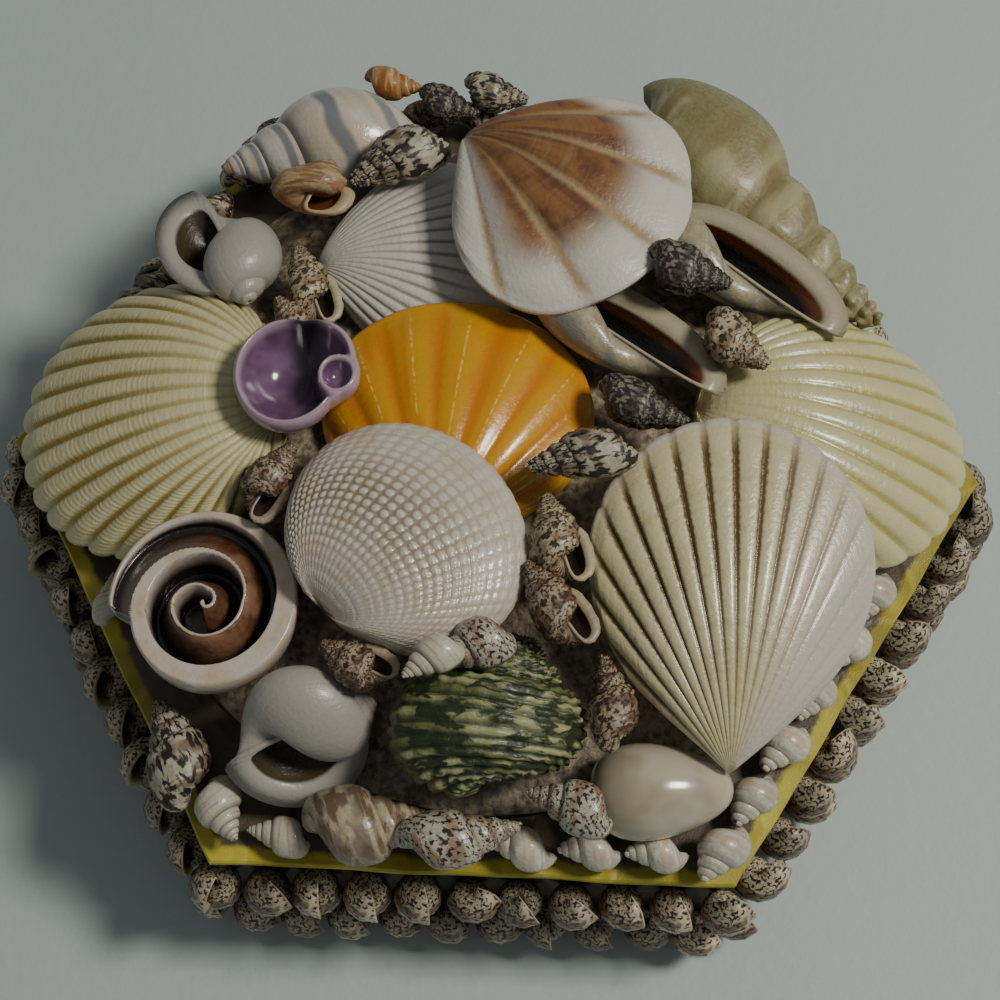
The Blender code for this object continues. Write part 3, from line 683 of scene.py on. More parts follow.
def whorl_finish(
    name,
    ground,
    spots,
    second=None,
    cover=0.5,
    grain=(7.0, 9.0),
    soft=0.04,
    second_cover=0.4,
    second_grain=(3.0, 3.0),
    mouth=(0.09, 0.05, 0.03),
    # deep is the colour of painted shade, deep in the mouth and along the seam
    deep=(0.02, 0.012, 0.008),
    seam_shade=0.0,
    gloss=(0.35, 0.55),
    coat=0.1,
    depth=0.00008,
    twist=0.4,
    bands=None,
    groove=None,
    early=None,
    lit=0.5,
    speck=0.72,
):
    """A coiled shell's colour: ground, blotches, spots, and painted shade at its seam and in its
    mouth.

    cover is the share that the spots take, grain their number along and across, and soft how
    blurred they are, and second is a wash under them, with its own cover and grain. bands is
    (place across, width, colour) of stripes along the tube, groove the colour between the cords,
    and early (colour, from, to) tints the older turns. lit is how far in the mouth's own colour
    reaches before deep, the colour of painted shade in the mouth's depths, takes over. The same
    deep colour is painted along the seam as painted shade, and speck how dark the ground's fine
    mottling is.
    """
    made = Finish(name, coat=coat, subsurface=0.05)
    tree = made.tree
    across, inside, lip = (made.attribute(key) for key in ("across", "inside", "lip"))
    fine = made.noise(1700, detail=4.0)
    colour = mix(tree, fade(tree, fine, 0.35, 0.7), ground, tuple(speck * c for c in ground))
    if second:
        broad = noise(tree, made.along_shell(*second_grain), 1.0, 3.0, distortion=twist)
        shade = fade(tree, broad, 0.62 - 0.3 * second_cover, 0.7 - 0.3 * second_cover)
        colour = mix(tree, shade, colour, second)
    dots = noise(tree, made.along_shell(*grain), 1.0, 3.0, distortion=twist)
    level = 0.68 - 0.36 * cover
    colour = mix(tree, fade(tree, dots, level - soft, level + soft), colour, spots)
    waver = 0.16
    for place, width, band in bands or ():
        wavy = sums(tree, "MULTIPLY_ADD", made.noise(110, detail=1.0), waver, across)
        away = sums(tree, "ABSOLUTE", sums(tree, "SUBTRACT", wavy, place + 0.5 * waver))
        stripe = fall(tree, away, 0.4 * width, width)
        colour = mix(tree, times(tree, stripe, 0.85), colour, band)
    if early:
        old = fall(tree, made.attribute("along"), *early[1:])
        colour = mix(tree, times(tree, old, 0.8), colour, early[0])
    if groove:
        low = fall(tree, made.attribute("rib"), 0.3, 0.85)
        low = times(tree, low, made.attribute("rib_mask"))
        colour = mix(tree, times(tree, low, 0.85), colour, groove)
    # Painted shade along the seam where each whorl comes out from under the one before, in the deep
    # colour.
    if seam_shade:
        line = fall(tree, across, 0.02, 0.14)
        colour = mix(tree, times(tree, line, seam_shade), colour, deep)
    edge = times(tree, fade(tree, lip, 0.9, 1.0), 0.85)
    colour = mix(tree, edge, colour, ground)
    # Painted shade in the mouth: its own colour near the lip, darkening to the deep colour further
    # in, and darker on the inner side.
    outer_side = sums(tree, "MULTIPLY_ADD", fall(tree, across, 0.8, 1.0), 0.5, 0.5)
    light = times(tree, fade(tree, lip, lit, 1.0), outer_side)
    hollow = mix(tree, light, deep, mouth)
    colour = mix(tree, inside, colour, hollow)
    made.colour(colour)
    made.roughness(fine, *gloss)
    lines = noise(tree, made.along_shell(60.0, 1.5), 1.0, 2.0)
    made.bump(sums(tree, "MULTIPLY_ADD", lines, 0.6, fine), depth)
    return made


def paper_finish(name, colour, pale, smear):
    """Smooth coloured paper: faint mottling, fibres and creases, with smears of plaster."""
    made = Finish(name, coat=0.1)
    tree = made.tree
    broad, fibre = made.noise(90, detail=2.0), made.noise(3500, detail=3.0)
    values = {"Vector": made.place, "Scale": 130.0}
    crease = node(tree, "ShaderNodeTexVoronoi", values, feature="DISTANCE_TO_EDGE")
    fold = fall(tree, crease, 0.0, 0.12)
    tone = mix(tree, fade(tree, broad, 0.35, 0.7), colour, pale)
    tone = mix(tree, times(tree, fold, 0.25), tone, pale)
    ragged = sums(tree, "MULTIPLY_ADD", made.noise(260), 0.05, made.attribute("out"))
    share = times(tree, fall(tree, ragged, 0.982, 0.998), made.attribute("top"))
    made.colour(mix(tree, share, tone, smear))
    made.roughness(broad, 0.32, 0.5)
    made.bump(sums(tree, "MULTIPLY_ADD", fold, 1.5, fibre), 0.00006)
    return made


def plaster_finish(name, colour, dark):
    """Gritty plaster with darker patches, shinier in places."""
    made = Finish(name, coat=0.3)
    tree = made.tree
    grit, broad = made.noise(900, detail=6.0), made.noise(140, detail=2.0)
    tone = mix(tree, fade(tree, grit, 0.3, 0.7), dark, colour)
    tone = mix(tree, fade(tree, broad, 0.5, 0.7), tone, dark)
    made.colour(tone)
    made.roughness(broad, 0.25, 0.85)
    made.bump(grit, 0.0004)
    return made


# ---------------------------------------------------------------- sizes and colours


def colour_property(name, description, colour):
    """A colour that the panel shows."""
    return bpy.props.FloatVectorProperty(
        name=name, description=description, default=colour, subtype="COLOR", min=0.0, max=1.0
    )


def length_property(name, description, millimetres):
    """A length that the panel shows."""
    return bpy.props.FloatProperty(
        name=name, description=description, default=millimetres * MM, unit="LENGTH", precision=5
    )


def angle_property(name, description, degrees):
    """An angle that the panel shows."""
    return bpy.props.FloatProperty(
        name=name, description=description, default=math.radians(degrees), subtype="ANGLE"
    )


class CardLook(bpy.types.PropertyGroup):
    """The card box, its lid and the plaster."""

    paper: colour_property("Paper", "Colour of the yellow paper", rgb(150, 138, 30))
    paper_pale: colour_property("Pale paper", "Colour of the rubbed paper", rgb(204, 192, 66))
    plaster: colour_property("Plaster", "Colour of the plaster", rgb(172, 157, 130))
    plaster_dark: colour_property("Dark plaster", "Colour of its darker patches", rgb(86, 74, 60))
    edge: length_property("Edge", "Rounding of the card's edges", 0.3)
    ripple: length_property("Ripple", "How far the paper edge waves", 0.12)


class RowLook(bpy.types.PropertyGroup):
    """The whelks round the box and the snails along the lid's edge."""

    whelks: bpy.props.IntProperty(name="Whelks", description="Whelks in one row", default=62, min=3)
    ground: colour_property("Ground", "Ground colour of the whelks", rgb(198, 184, 156))
    spots: colour_property("Spots", "Colour of the whelks' spots", rgb(44, 34, 30))
    blotch: colour_property("Blotches", "Colour of the whelks' blotches", rgb(132, 106, 84))
    white: colour_property("White snails", "Colour of the edge's snails", rgb(226, 219, 200))
    spread: bpy.props.FloatProperty(
        name="Size spread", description="How far the sizes differ", default=0.09, min=0.0, max=0.5
    )
    seed: bpy.props.IntProperty(name="Seed", description="Picks another arrangement", default=4)


class ShellLook(bpy.types.PropertyGroup):
    """The shells on the lid."""

    cream: colour_property("Cream", "Ribs of the cockles", rgb(214, 206, 160))
    olive: colour_property("Olive", "Grooves of the cockles", rgb(146, 130, 62))
    orange: colour_property("Orange", "The orange scallop", rgb(214, 156, 18))
    amber: colour_property("Amber", "Streaks of the orange scallop", rgb(206, 128, 12))
    rust: colour_property("Rust", "Patches of the brown scallop", rgb(98, 62, 38))
    white: colour_property("White", "White shells", rgb(212, 208, 196))
    pink: colour_property("Pink", "Pinkish white shells", rgb(206, 194, 182))
    tan: colour_property("Tan", "Conchs", rgb(146, 140, 96))
    mouth: colour_property("Mouth", "Inside of the conchs", rgb(128, 76, 36))
    green: colour_property("Green", "The green turban", rgb(110, 118, 68))
    violet: colour_property("Violet", "The violet snail", rgb(98, 70, 98))
    ivory: colour_property("Ivory", "The cowrie", rgb(190, 182, 160))
    black: colour_property("Black", "Spots of the small shells", rgb(46, 38, 34))
    brown: colour_property("Brown", "Blotches of the brown small shells", rgb(112, 84, 62))


class StageLook(bpy.types.PropertyGroup):
    """The floor, the lights and the camera."""

    floor: colour_property("Floor", "Colour of the floor", rgb(190, 204, 200))
    key: bpy.props.FloatProperty(
        name="Key light", description="Power of the large light", default=4.3, unit="POWER"
    )
    fill: bpy.props.FloatProperty(
        name="Sky", description="Strength of the even light", default=0.16, min=0.0
    )
    azimuth: angle_property("Azimuth", "Camera's bearing", 2.73)
    elevation: angle_property("Elevation", "Camera's height", 66.07)
    distance: length_property("Distance", "From the camera to the lid", 260.0)
    lens: bpy.props.FloatProperty(name="Lens", description="Focal length in mm", default=70.13)


class ShellBoxLook(bpy.types.PropertyGroup):
    """All the sizes and colours of the shell box."""

    card: bpy.props.PointerProperty(type=CardLook)
    rows: bpy.props.PointerProperty(type=RowLook)
    shells: bpy.props.PointerProperty(type=ShellLook)
    stage: bpy.props.PointerProperty(type=StageLook)


# ---------------------------------------------------------------- the card box


def corner(radius, index):
    """A corner of the hexagonal outline."""
    angle = 2 * math.pi * index / SIDES
    return np.array([radius * math.cos(angle), radius * math.sin(angle)])


def hexagonal_loft(name, profile, ripple=0.0, per_side=36, dark_sides=False):
    """A closed solid through hexagonal rings, from (corner radius, height) in millimetres.

    The plaster's smear covers its top inside the edge, or else its sides are darkened all over.
    """
    spots, waves = [], []
    for side in range(SIDES):
        begin, end = corner(1.0, side), corner(1.0, side + 1)
        for k in range(per_side):
            spots.append(begin * (1 - k / per_side) + end * k / per_side)
            bend = 2 * math.pi * (side + k / per_side)
            waves.append(math.sin(2.3 * bend + 1.0) + 0.6 * math.sin(5.1 * bend) - 1.6)
    count = len(spots)
    points, marks = [(0.0, 0.0, profile[0][1])], [(0.0, 0.0)]
    widest = max(radius for radius, _ in profile)
    for radius, height in profile:
        for spot, wave in zip(spots, waves):
            points.append((*(spot * (radius + ripple * wave)), height))
            # For the box, the widest rings get the top mark, so its sides are coloured dark all
            # over.
            if dark_sides:
                marks.append((0.5, float(radius == widest)))
            else:
                marks.append((radius / widest, float(height == profile[-1][1])))
    points.append((0.0, 0.0, profile[-1][1]))
    marks.append((0.0, float(not dark_sides)))
    faces = []
    for i in range(count):
        j = (i + 1) % count
        faces.append((0, 1 + i, 1 + j))
        for k in range(len(profile) - 1):
            a, b = 1 + k * count, 1 + (k + 1) * count
            faces.append((a + i, b + i, b + j, a + j))
        last = 1 + (len(profile) - 1) * count
        faces.append((last + i, last + j, len(points) - 1))
    return piece(name, points, faces, dict(zip(("out", "top"), np.array(marks).T)))


def make_card(look):
    """The box and its lid, with softened paper edges and the seam of the lid's two layers."""
    paper = paper_finish("yellow_paper_look", look.paper, look.paper_pale, look.plaster_dark)
    edge, ripple = look.edge / MM, look.ripple / MM
    low, high = box_mm("box_body")
    radius, wall, floor = high[0], 3.0, 2.4
    inner = radius - wall
    body = [(radius - edge, low[2]), (radius, low[2] + edge), (radius, high[2] - edge)]
    body += [(radius - edge, high[2]), (inner + edge, high[2]), (inner, high[2] - edge)]
    body += [(inner, floor + edge), (inner - edge, floor)]
    low, high = box_mm("lid_board")
    clearance, board = 1.0, 1.6
    rim, step, under = high[0], inner - clearance, low[2] + board
    middle = low[2] + 0.68 * (high[2] - low[2])
    # From below: the board that drops into the box, the lower layer, the seam, the upper layer.
    lid = [(step - edge, low[2]), (step, low[2] + edge), (step, under)]
    lid += [(rim - 1.2, under), (rim - 0.7, low[2] + 1.7), (rim - 0.5, low[2] + 1.9)]
    lid += [(rim - 0.5, middle - 0.25), (rim - 1.5, middle - 0.1), (rim - 1.5, middle + 0.05)]
    lid += [(rim, middle + 0.2), (rim, high[2] - edge), (rim - edge, high[2])]
    for node_name, profile, wave in (("box_body", body, 0.0), ("lid_board", lid, ripple)):
        # The box's sides are darkened all over in the plaster's dark colour, behind the rows of
        # whelks.
        made = hexagonal_loft(node_name, profile, wave, dark_sides=node_name == "box_body")
        for polygon in made.data.polygons:
            polygon.use_smooth = False
        made.data.materials.append(paper.material)
        set_points(made.data, fit(get_points(made.data), node_name))
        tie(made, node_name)


def make_bed(look):
    """The plaster bed, smoothed and roughened."""
    finish = plaster_finish("plaster_look", look.plaster, look.plaster_dark)
    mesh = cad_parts["glue_bed"].data.copy()
    tool = bmesh.new()
    tool.from_mesh(mesh)
    bmesh.ops.remove_doubles(tool, verts=tool.verts, dist=1e-6)
    quad = {"angle_face_threshold": math.radians(70), "angle_shape_threshold": math.radians(70)}
    bmesh.ops.join_triangles(tool, faces=tool.faces, **quad)
    tool.to_mesh(mesh)
    tool.free()
    mesh.materials.clear()
    mesh.materials.append(finish.material)
    made = add_object("glue_bed_look", mesh)
    soften = made.modifiers.new("soften", "SUBSURF")
    soften.levels = soften.render_levels = 3
    made.data = worked_mesh(made)
    made.data.shade_smooth()
    points = get_points(made.data)
    x, y = points[:, 0] / MM, points[:, 1] / MM
    lumps = np.sin(1.9 * x + 0.7 * y) * np.sin(1.3 * y - 0.8 * x)
    lumps = lumps + 0.5 * np.sin(4.1 * x) * np.sin(3.7 * y)
    above = points[:, 2] > points[:, 2].min() + 0.3 * MM
    points[:, 2] += 0.25 * MM * (lumps - 1.0) * above
    set_points(made.data, fit(points, "glue_bed"))
    tie(made, "glue_bed")


# ---------------------------------------------------------------- rows of small shells


def row_recipe():
    """Shells set along a path, each a random one of four, turned and sized a little differently."""
    found = bpy.data.node_groups.get("shell_row")
    if found:
        return found
    recipe = Recipe("shell_row")
    path = recipe.input("Path", "Geometry")
    count, seed = recipe.input("Count", "Int"), recipe.input("Seed", "Int")
    least, most = recipe.input("Least Turn", "Vector"), recipe.input("Most Turn", "Vector")
    spread = recipe.input("Spread", "Float")
    kinds = [recipe.input(f"Shell {k}", "Object") for k in range(4)]
    material = recipe.input("Material", "Material")
    spots = recipe.tree.nodes.new("GeometryNodeCurveToPoints")
    spots.mode = "COUNT"
    recipe.tree.links.new(path, spots.inputs["Curve"])
    recipe.tree.links.new(count, spots.inputs["Count"])
    joined = recipe.tree.nodes.new("GeometryNodeJoinGeometry")
    for kind in kinds:
        shell = recipe.add("ObjectInfo", {"Object": kind}, out="Geometry")
        shell = recipe.add("GeometryToInstance", {"Geometry": shell})
        recipe.tree.links.new(shell, joined.inputs[0])
    # Inputs of Random Value: 0 and 1 for a vector, 2 and 3 for a number, 4 and 5 for an integer.
    # Its outputs 0, 1 and 2 are in the same order.
    pick = {4: 0, 5: 3, "Seed": seed}
    pick = recipe.add("FunctionNodeRandomValue", pick, 2, data_type="INT")
    swing = {0: least, 1: most, "Seed": sums(recipe.tree, "ADD", seed, 11)}
    swing = recipe.add("FunctionNodeRandomValue", swing, 0, data_type="FLOAT_VECTOR")
    small = sums(recipe.tree, "SUBTRACT", 1.0, spread)
    size = {2: small, 3: 1.0, "Seed": sums(recipe.tree, "ADD", seed, 23)}
    size = recipe.add("FunctionNodeRandomValue", size, 1, data_type="FLOAT")
    ahead = {"Vector": spots.outputs["Tangent"]}
    facing = recipe.add("FunctionNodeAlignRotationToVector", ahead, axis="X")
    bend = {0: facing, 1: recipe.add("FunctionNodeEulerToRotation", {0: swing})}
    turned = recipe.add("FunctionNodeRotateRotation", bend, rotation_space="LOCAL")
    values = {"Points": spots.outputs[0], "Instance": joined.outputs[0], "Pick Instance": True}
    values.update({"Instance Index": pick, "Rotation": turned, "Scale": size})
    geometry = recipe.add("InstanceOnPoints", values)
    tone = {2: 0.0, 3: 1.0, "Seed": sums(recipe.tree, "ADD", seed, 37)}
    tone = recipe.add("FunctionNodeRandomValue", tone, 1, data_type="FLOAT")
    geometry = recipe.add(
        "StoreNamedAttribute",
        {"Geometry": geometry, "Name": "tone", "Value": tone},
        data_type="FLOAT",
        domain="INSTANCE",
    )
    return recipe.finish(geometry, material)


def path(name, spots, closed=False):
    """A path of straight runs through points in millimetres."""
    curve = bpy.data.curves.new(name, "CURVE")
    curve.dimensions = "3D"
    line = curve.splines.new("POLY")
    line.points.add(len(spots) - 1)
    for spot, place in zip(line.points, spots):
        spot.co = (*(np.asarray(place) * MM), 1.0)
    line.use_cyclic_u = closed
    return add_object(name, curve)


def toned(finish, share):
    """Makes each shell of a row lighter or darker than the next."""
    tree = finish.tree
    link = finish.surface.inputs["Base Color"].links[0]
    tone = finish.attribute("tone")
    factor = sums(tree, "MULTIPLY_ADD", tone, share, 1.0 - 0.5 * share)
    level = node(tree, "ShaderNodeCombineXYZ", {0: factor, 1: factor, 2: factor})
    finish.colour(mix(tree, 1.0, link.from_socket, level, "MULTIPLY"))
    return finish


def row_shells(kinds, material, turns):
    """The shells that a row picks from, each turned so that the row can set them."""
    made = []
    for k, kind in enumerate(kinds):
        shell = kind.make(f"row_shell_{k}", material)
        set_points(shell.data, turn(get_points(shell.data), *turns))
        made.append(shell)
    return made


def set_row(node_name, line, count, shells, material, seed, spread, least, most):
    """One row of shells along a path."""
    kinds = {f"Shell_{k}": shells[k % len(shells)] for k in range(4)}
    made = run_recipe(
        line,
        row_recipe(),
        Count=count,
        Seed=seed,
        Spread=spread,
        Least_Turn=[math.radians(v) for v in least],
        Most_Turn=[math.radians(v) for v in most],
        Material=material,
        **kinds,
    )
    set_points(made.data, fit(get_points(made.data), node_name))
    made.data.shade_smooth()
    tie(made, node_name)


def make_rows(look):
    """Two rows of spotted whelks that stand on their tips round the box."""
    finish = whorl_finish(
        "row_whelk_look",
        look.ground,
        look.spots,
        second=look.blotch,
        cover=0.42,
        grain=(27.0, 15.0),
        second_cover=0.35,
        mouth=look.blotch,
        seam_shade=0.6,
    )
    material = toned(finish, 0.65).material
    share = SIDES / look.whelks
    reach = box_mm("whelks_lower_row")[1][0] / (1.0 + 0.53 * share)
    width = 1.2 * reach * share
    common = dict(mouth=0.64, growth=1.6, hub=0.12, boxy=0.95, first=0.16, sides=12, outer=9)
    common.update(inner=3, cave=0.45, wall=0.2, cords=5.0, cord_depth=0.14, folds=11.0)
    common.update(fold_depth=0.24)
    kinds = [
        Coil(11.8, width, **common),
        Coil(11.4, 0.97 * width, **{**common, "mouth": 0.66, "fold_depth": 0.34}),
        Coil(11.8, 1.04 * width, **{**common, "mouth": 0.6, "flare": 0.1}),
        Coil(11.0, width, **{**common, "growth": 1.7, "fold_depth": 0.16}),
    ]
    shells = row_shells(kinds, material, (45.0, -90.0))
    for node_name, shift in (("whelks_lower_row", 0.0), ("whelks_upper_row", 0.5)):
        low, high = box_mm(node_name)
        level = 0.5 * (low[2] + high[2])
        start = corner(reach, 0) * (1 - shift * share) + corner(reach, 1) * shift * share
        spots = [(*start, level)] + [(*corner(reach, k), level) for k in range(1, SIDES)]
        if shift:
            spots.append((*corner(reach, 0), level))
        line = path(node_name, spots, closed=True)
        least, most = (-7.0, -7.0, -50.0), (7.0, 7.0, 50.0)
        seed = look.seed + int(10 * shift)
        set_row(node_name, line, look.whelks, shells, material, seed, look.spread, least, most)
    for shell in shells:
        bpy.data.objects.remove(shell)


@dataclass
class Border:
    """A row of small snails on a side of the lid, in millimetres from the side's first corner."""

    node: str
    side: int
    start: float
    count: int
    pitch: float = 7.5
    spotted: bool = False
    inset: float = 3.4


BORDERS = (
    Border("border_front", 4, 38.6, 3, 8.0, inset=2.8),
    Border("border_front_right", 5, 1.6, 6, 7.9, inset=4.4),
    Border("border_back_right", 0, 11.0, 6),
    Border("border_back", 1, 7.0, 7, spotted=True),
    Border("border_back_left", 2, 7.0, 6, spotted=True),
)


def make_borders(look):
    """Rows of small snails, tip to mouth, along five sides of the lid."""
    pale = whorl_finish(
        "border_white_look",
        look.white,
        tuple(0.6 * c for c in look.white),
        second=rgb(206, 186, 160),
        cover=0.22,
        grain=(3.0, 10.0),
        soft=0.12,
        second_cover=0.3,
        mouth=look.white,
        seam_shade=0.35,
        gloss=(0.22, 0.4),
        coat=0.3,
    )
    spotted = whorl_finish(
        "border_spotted_look",
        look.ground,
        look.spots,
        second=look.blotch,
        cover=0.45,
        grain=(8.0, 6.0),
        seam_shade=0.6,
    )
    common = dict(mouth=0.62, growth=1.6, first=0.2, sides=18, outer=9, inner=4, wall=0.12)
    beaded = {**common, "cords": 5.0, "cord_depth": 0.16, "folds": 12.0, "fold_depth": 0.28}
    smooth_kinds = [Coil(8.8, 7.8, **common), Coil(9.4, 7.4, **{**common, "mouth": 0.58})]
    rough_kinds = [Coil(8.4, 6.0, **beaded), Coil(8.2, 6.4, **{**beaded, "mouth": 0.58})]
    reach = box_mm("lid_board")[1][0]
    for kinds, finish, wanted in ((smooth_kinds, pale, False), (rough_kinds, spotted, True)):
        material = toned(finish, 0.3).material
        shells = row_shells(kinds, material, (0.0, 0.0, 150.0))
        for number, row in enumerate(BORDERS):
            if row.spotted != wanted:
                continue
            begin, end = corner(reach, row.side), corner(reach, row.side + 1)
            run = (end - begin) / np.linalg.norm(end - begin)
            inward = np.array([-run[1], run[0]]) * row.inset
            low, high = box_mm(row.node)
            level = 0.5 * (low[2] + high[2])
            spots = [
                (*(begin + run * (row.start + k * row.pitch) + inward), level)
                for k in range(row.count - 1, -1, -1)
            ]
            line = path(row.node, spots)
            least, most = (-35.0, -4.0, -8.0), (30.0, 4.0, 8.0)
            seed = look.seed + number
            set_row(row.node, line, row.count, shells, material, seed, look.spread, least, most)
        for shell in shells:
            bpy.data.objects.remove(shell)


# ---------------------------------------------------------------- valves on the lid


def lay_all(*shells):
    """Makes shells of (node, finish, pose, shape), with a pose of heading, lift and bank."""
    for node_name, finish, pose, shape in shells:
        stand_for(shape.make(node_name, finish.material), node_name, *pose)


def make_cockles(look):
    """The two cockles at the sides and the beaded one in the middle."""
    pale = tuple(0.94 * c for c in look.cream)
    scaly = valve_finish(
        "cockle_left_look", look.cream, look.olive, rgb(206, 194, 138), 0.4, (0.3, 0.85), lines=90.0
    )
    shiny = valve_finish(
        "cockle_right_look", pale, rgb(176, 168, 92), rgb(216, 208, 142), 0.45, (0.25, 0.8),
        lines=40.0, gloss=(0.2, 0.36), coat=0.4,
    )
    beaded = valve_finish(
        "cockle_cancellate_look", rgb(214, 204, 190), rgb(106, 84, 46), rgb(196, 180, 144), 0.4,
        (0.2, 0.7), netted=True, lines=60.0, gloss=(0.18, 0.36), coat=0.45,
    )
    left = Valve(
        height=37, width=39, dome=9, ribs=28, rib_depth=0.6, fan=88, square=0.95, fullness=0.7,
        rings=50, ring_depth=0.18, spread=0.55, rows=150, scallop=0.02, per_rib=7,
        ring_mask=lambda across, along: 0.25 + 0.75 * smooth(across, 0.35, 0.75),
    )
    right = Valve(
        height=37, width=35.5, dome=8.5, ribs=25, rib_depth=0.6, fan=88, square=0.95,
        spread=0.55, per_rib=8,
    )

    def beads_show(across, along):
        """Beads that are worn away towards the rim and one side."""
        return 0.2 + 0.8 * smooth(1.0 - along, 0.1, 0.6) * smooth(across, 0.1, 0.6)

    middle = Valve(
        height=27.5, width=32.5, dome=7, ribs=46, rib_depth=0.2, fan=88, square=0.9, fullness=0.8,
        rings=21, ring_depth=0.4, spread=0.6, rows=120, per_rib=5, beads=0.6, mask=beads_show,
    )
    lay_all(
        ("cockle_left", scaly, (184, -11), left),
        ("cockle_right", shiny, (-7, -11), right),
        ("cockle_cancellate", beaded, (46, 9), middle),
    )


def make_scallops(look):
    """The ribbed, orange, brown and white scallops."""
    ribbed = valve_finish(
        "scallop_ribbed_look", rgb(212, 202, 160), rgb(104, 84, 46), rgb(200, 184, 130), 0.4,
        (0.56, 0.82), lines=30.0, gloss=(0.18, 0.36), coat=0.35,
        side=(look.pink, 0.5, 0.12), rim=(look.pink, 0.96, 1.0),
    )
    # The orange scallop gets thin painted highlights along its rib tops.
    orange = valve_finish(
        "scallop_orange_look", look.orange, look.amber, look.amber, 0.15, (0.0, 0.7), lines=14.0,
        streaks=(13.0, look.amber, 0.8), side=(look.cream, 0.84, 0.97), gloss=(0.2, 0.35),
        ridge_highlight=(rgb(244, 204, 110), 0.985, 0.999), coat=0.4, depth=0.00006,
    )
    brown = valve_finish(
        "scallop_brown_look", rgb(140, 98, 58), rgb(170, 146, 108), look.rust, 0.8,
        (0.0, 0.5), lines=26.0, streaks=(12.0, look.rust, 0.8), rim=(look.white, 0.66, 0.86),
        side=(look.white, 0.3, 0.16), gloss=(0.25, 0.42), coat=0.25,
    )
    white = valve_finish(
        "scallop_white_look", look.white, rgb(138, 136, 128), rgb(206, 200, 190), 0.3,
        (0.35, 0.8), lines=24.0, gloss=(0.3, 0.5),
    )
    ribbed_shape = Valve(
        height=43.5, width=35, dome=6, ribs=18, rib_depth=0.75, fan=52, square=0.4, fullness=0.4,
        steep=0.9, scallop=0.004,
        mask=lambda across, along: 0.1 + 0.9 * smooth(across, 0.12, 0.5),
    )
    orange_shape = Valve(
        height=34, width=35, dome=7, ribs=9, rib_depth=0.45, fan=58, square=0.45, fullness=1.2,
        steep=0.9, per_rib=14, scallop=0.0,
        mask=lambda across, along: 1 - 0.5 * smooth(along, 0.8, 1.0),
    )
    brown_shape = Valve(
        height=33, width=34.5, dome=5, ribs=6, rib_depth=0.75, fan=60, square=0.4, fullness=1.0,
        steep=1.0, per_rib=20, scallop=0.008, wave=0.8, rows=72,
    )

    def ribs_fade(across, along):
        """Ribs that flatten towards the rim and one side."""
        return (1 - 0.85 * smooth(along, 0.5, 0.95)) * (1 - 0.5 * smooth(across, 0.55, 0.9))

    white_shape = Valve(
        height=28.5, width=30, dome=5, ribs=22, rib_depth=0.45, fan=60, square=0.45,
        steep=0.9, per_rib=8, scallop=0.004, rows=72, mask=ribs_fade,
    )
    lay_all(
        ("scallop_ribbed", ribbed, (91, 18), ribbed_shape),
        ("scallop_orange", orange, (84, 13), orange_shape),
        ("scallop_brown_white", brown, (-34, 6), brown_shape),
        ("scallop_white", white, (6, 8), white_shape),
    )


# ---------------------------------------------------------------- coiled shells on the lid


def make_conchs(look):
    """The big tan conch and the two small ones that show their mouths."""
    conch = whorl_finish(
        "conch_look", look.tan, rgb(132, 118, 76), second=rgb(168, 162, 122), cover=0.25,
        grain=(2.0, 9.0), soft=0.2, second_cover=0.5, seam_shade=0.4, deep=rgb(120, 92, 60),
    )
    # The small conchs' mouths: their own brown near the lip, then painted shade, nearly black,
    # further in.
    small = whorl_finish(
        "strombus_look", rgb(184, 174, 146), rgb(152, 138, 110), second=rgb(138, 136, 124),
        cover=0.25, soft=0.15, mouth=look.mouth, deep=rgb(14, 9, 6), lit=0.8,
        gloss=(0.2, 0.4), coat=0.35,
    )
    big = Coil(
        length=51, width=21, mouth=0.5, growth=1.45, depth=0.9, folds=7.0, fold_depth=0.7,
        sides=40, outer=26,
        fold_mask=lambda across, age: np.exp(-(((across - 0.3) / 0.16) ** 2)),
    )
    common = dict(mouth=0.78, growth=2.6, hub=0.16, boxy=0.9, depth=0.8, sides=40, outer=26)
    common.update(inner=10, wall=0.2, slit=0.3, cave=0.5, flare=0.08)
    lay_all(
        ("conch_tan", conch, (-47, 0, 190), big),
        ("strombus_upper", small, (143,), Coil(35, 15.0, **common)),
        ("strombus_lower", small, (147,), Coil(32, 13.5, **common)),
    )


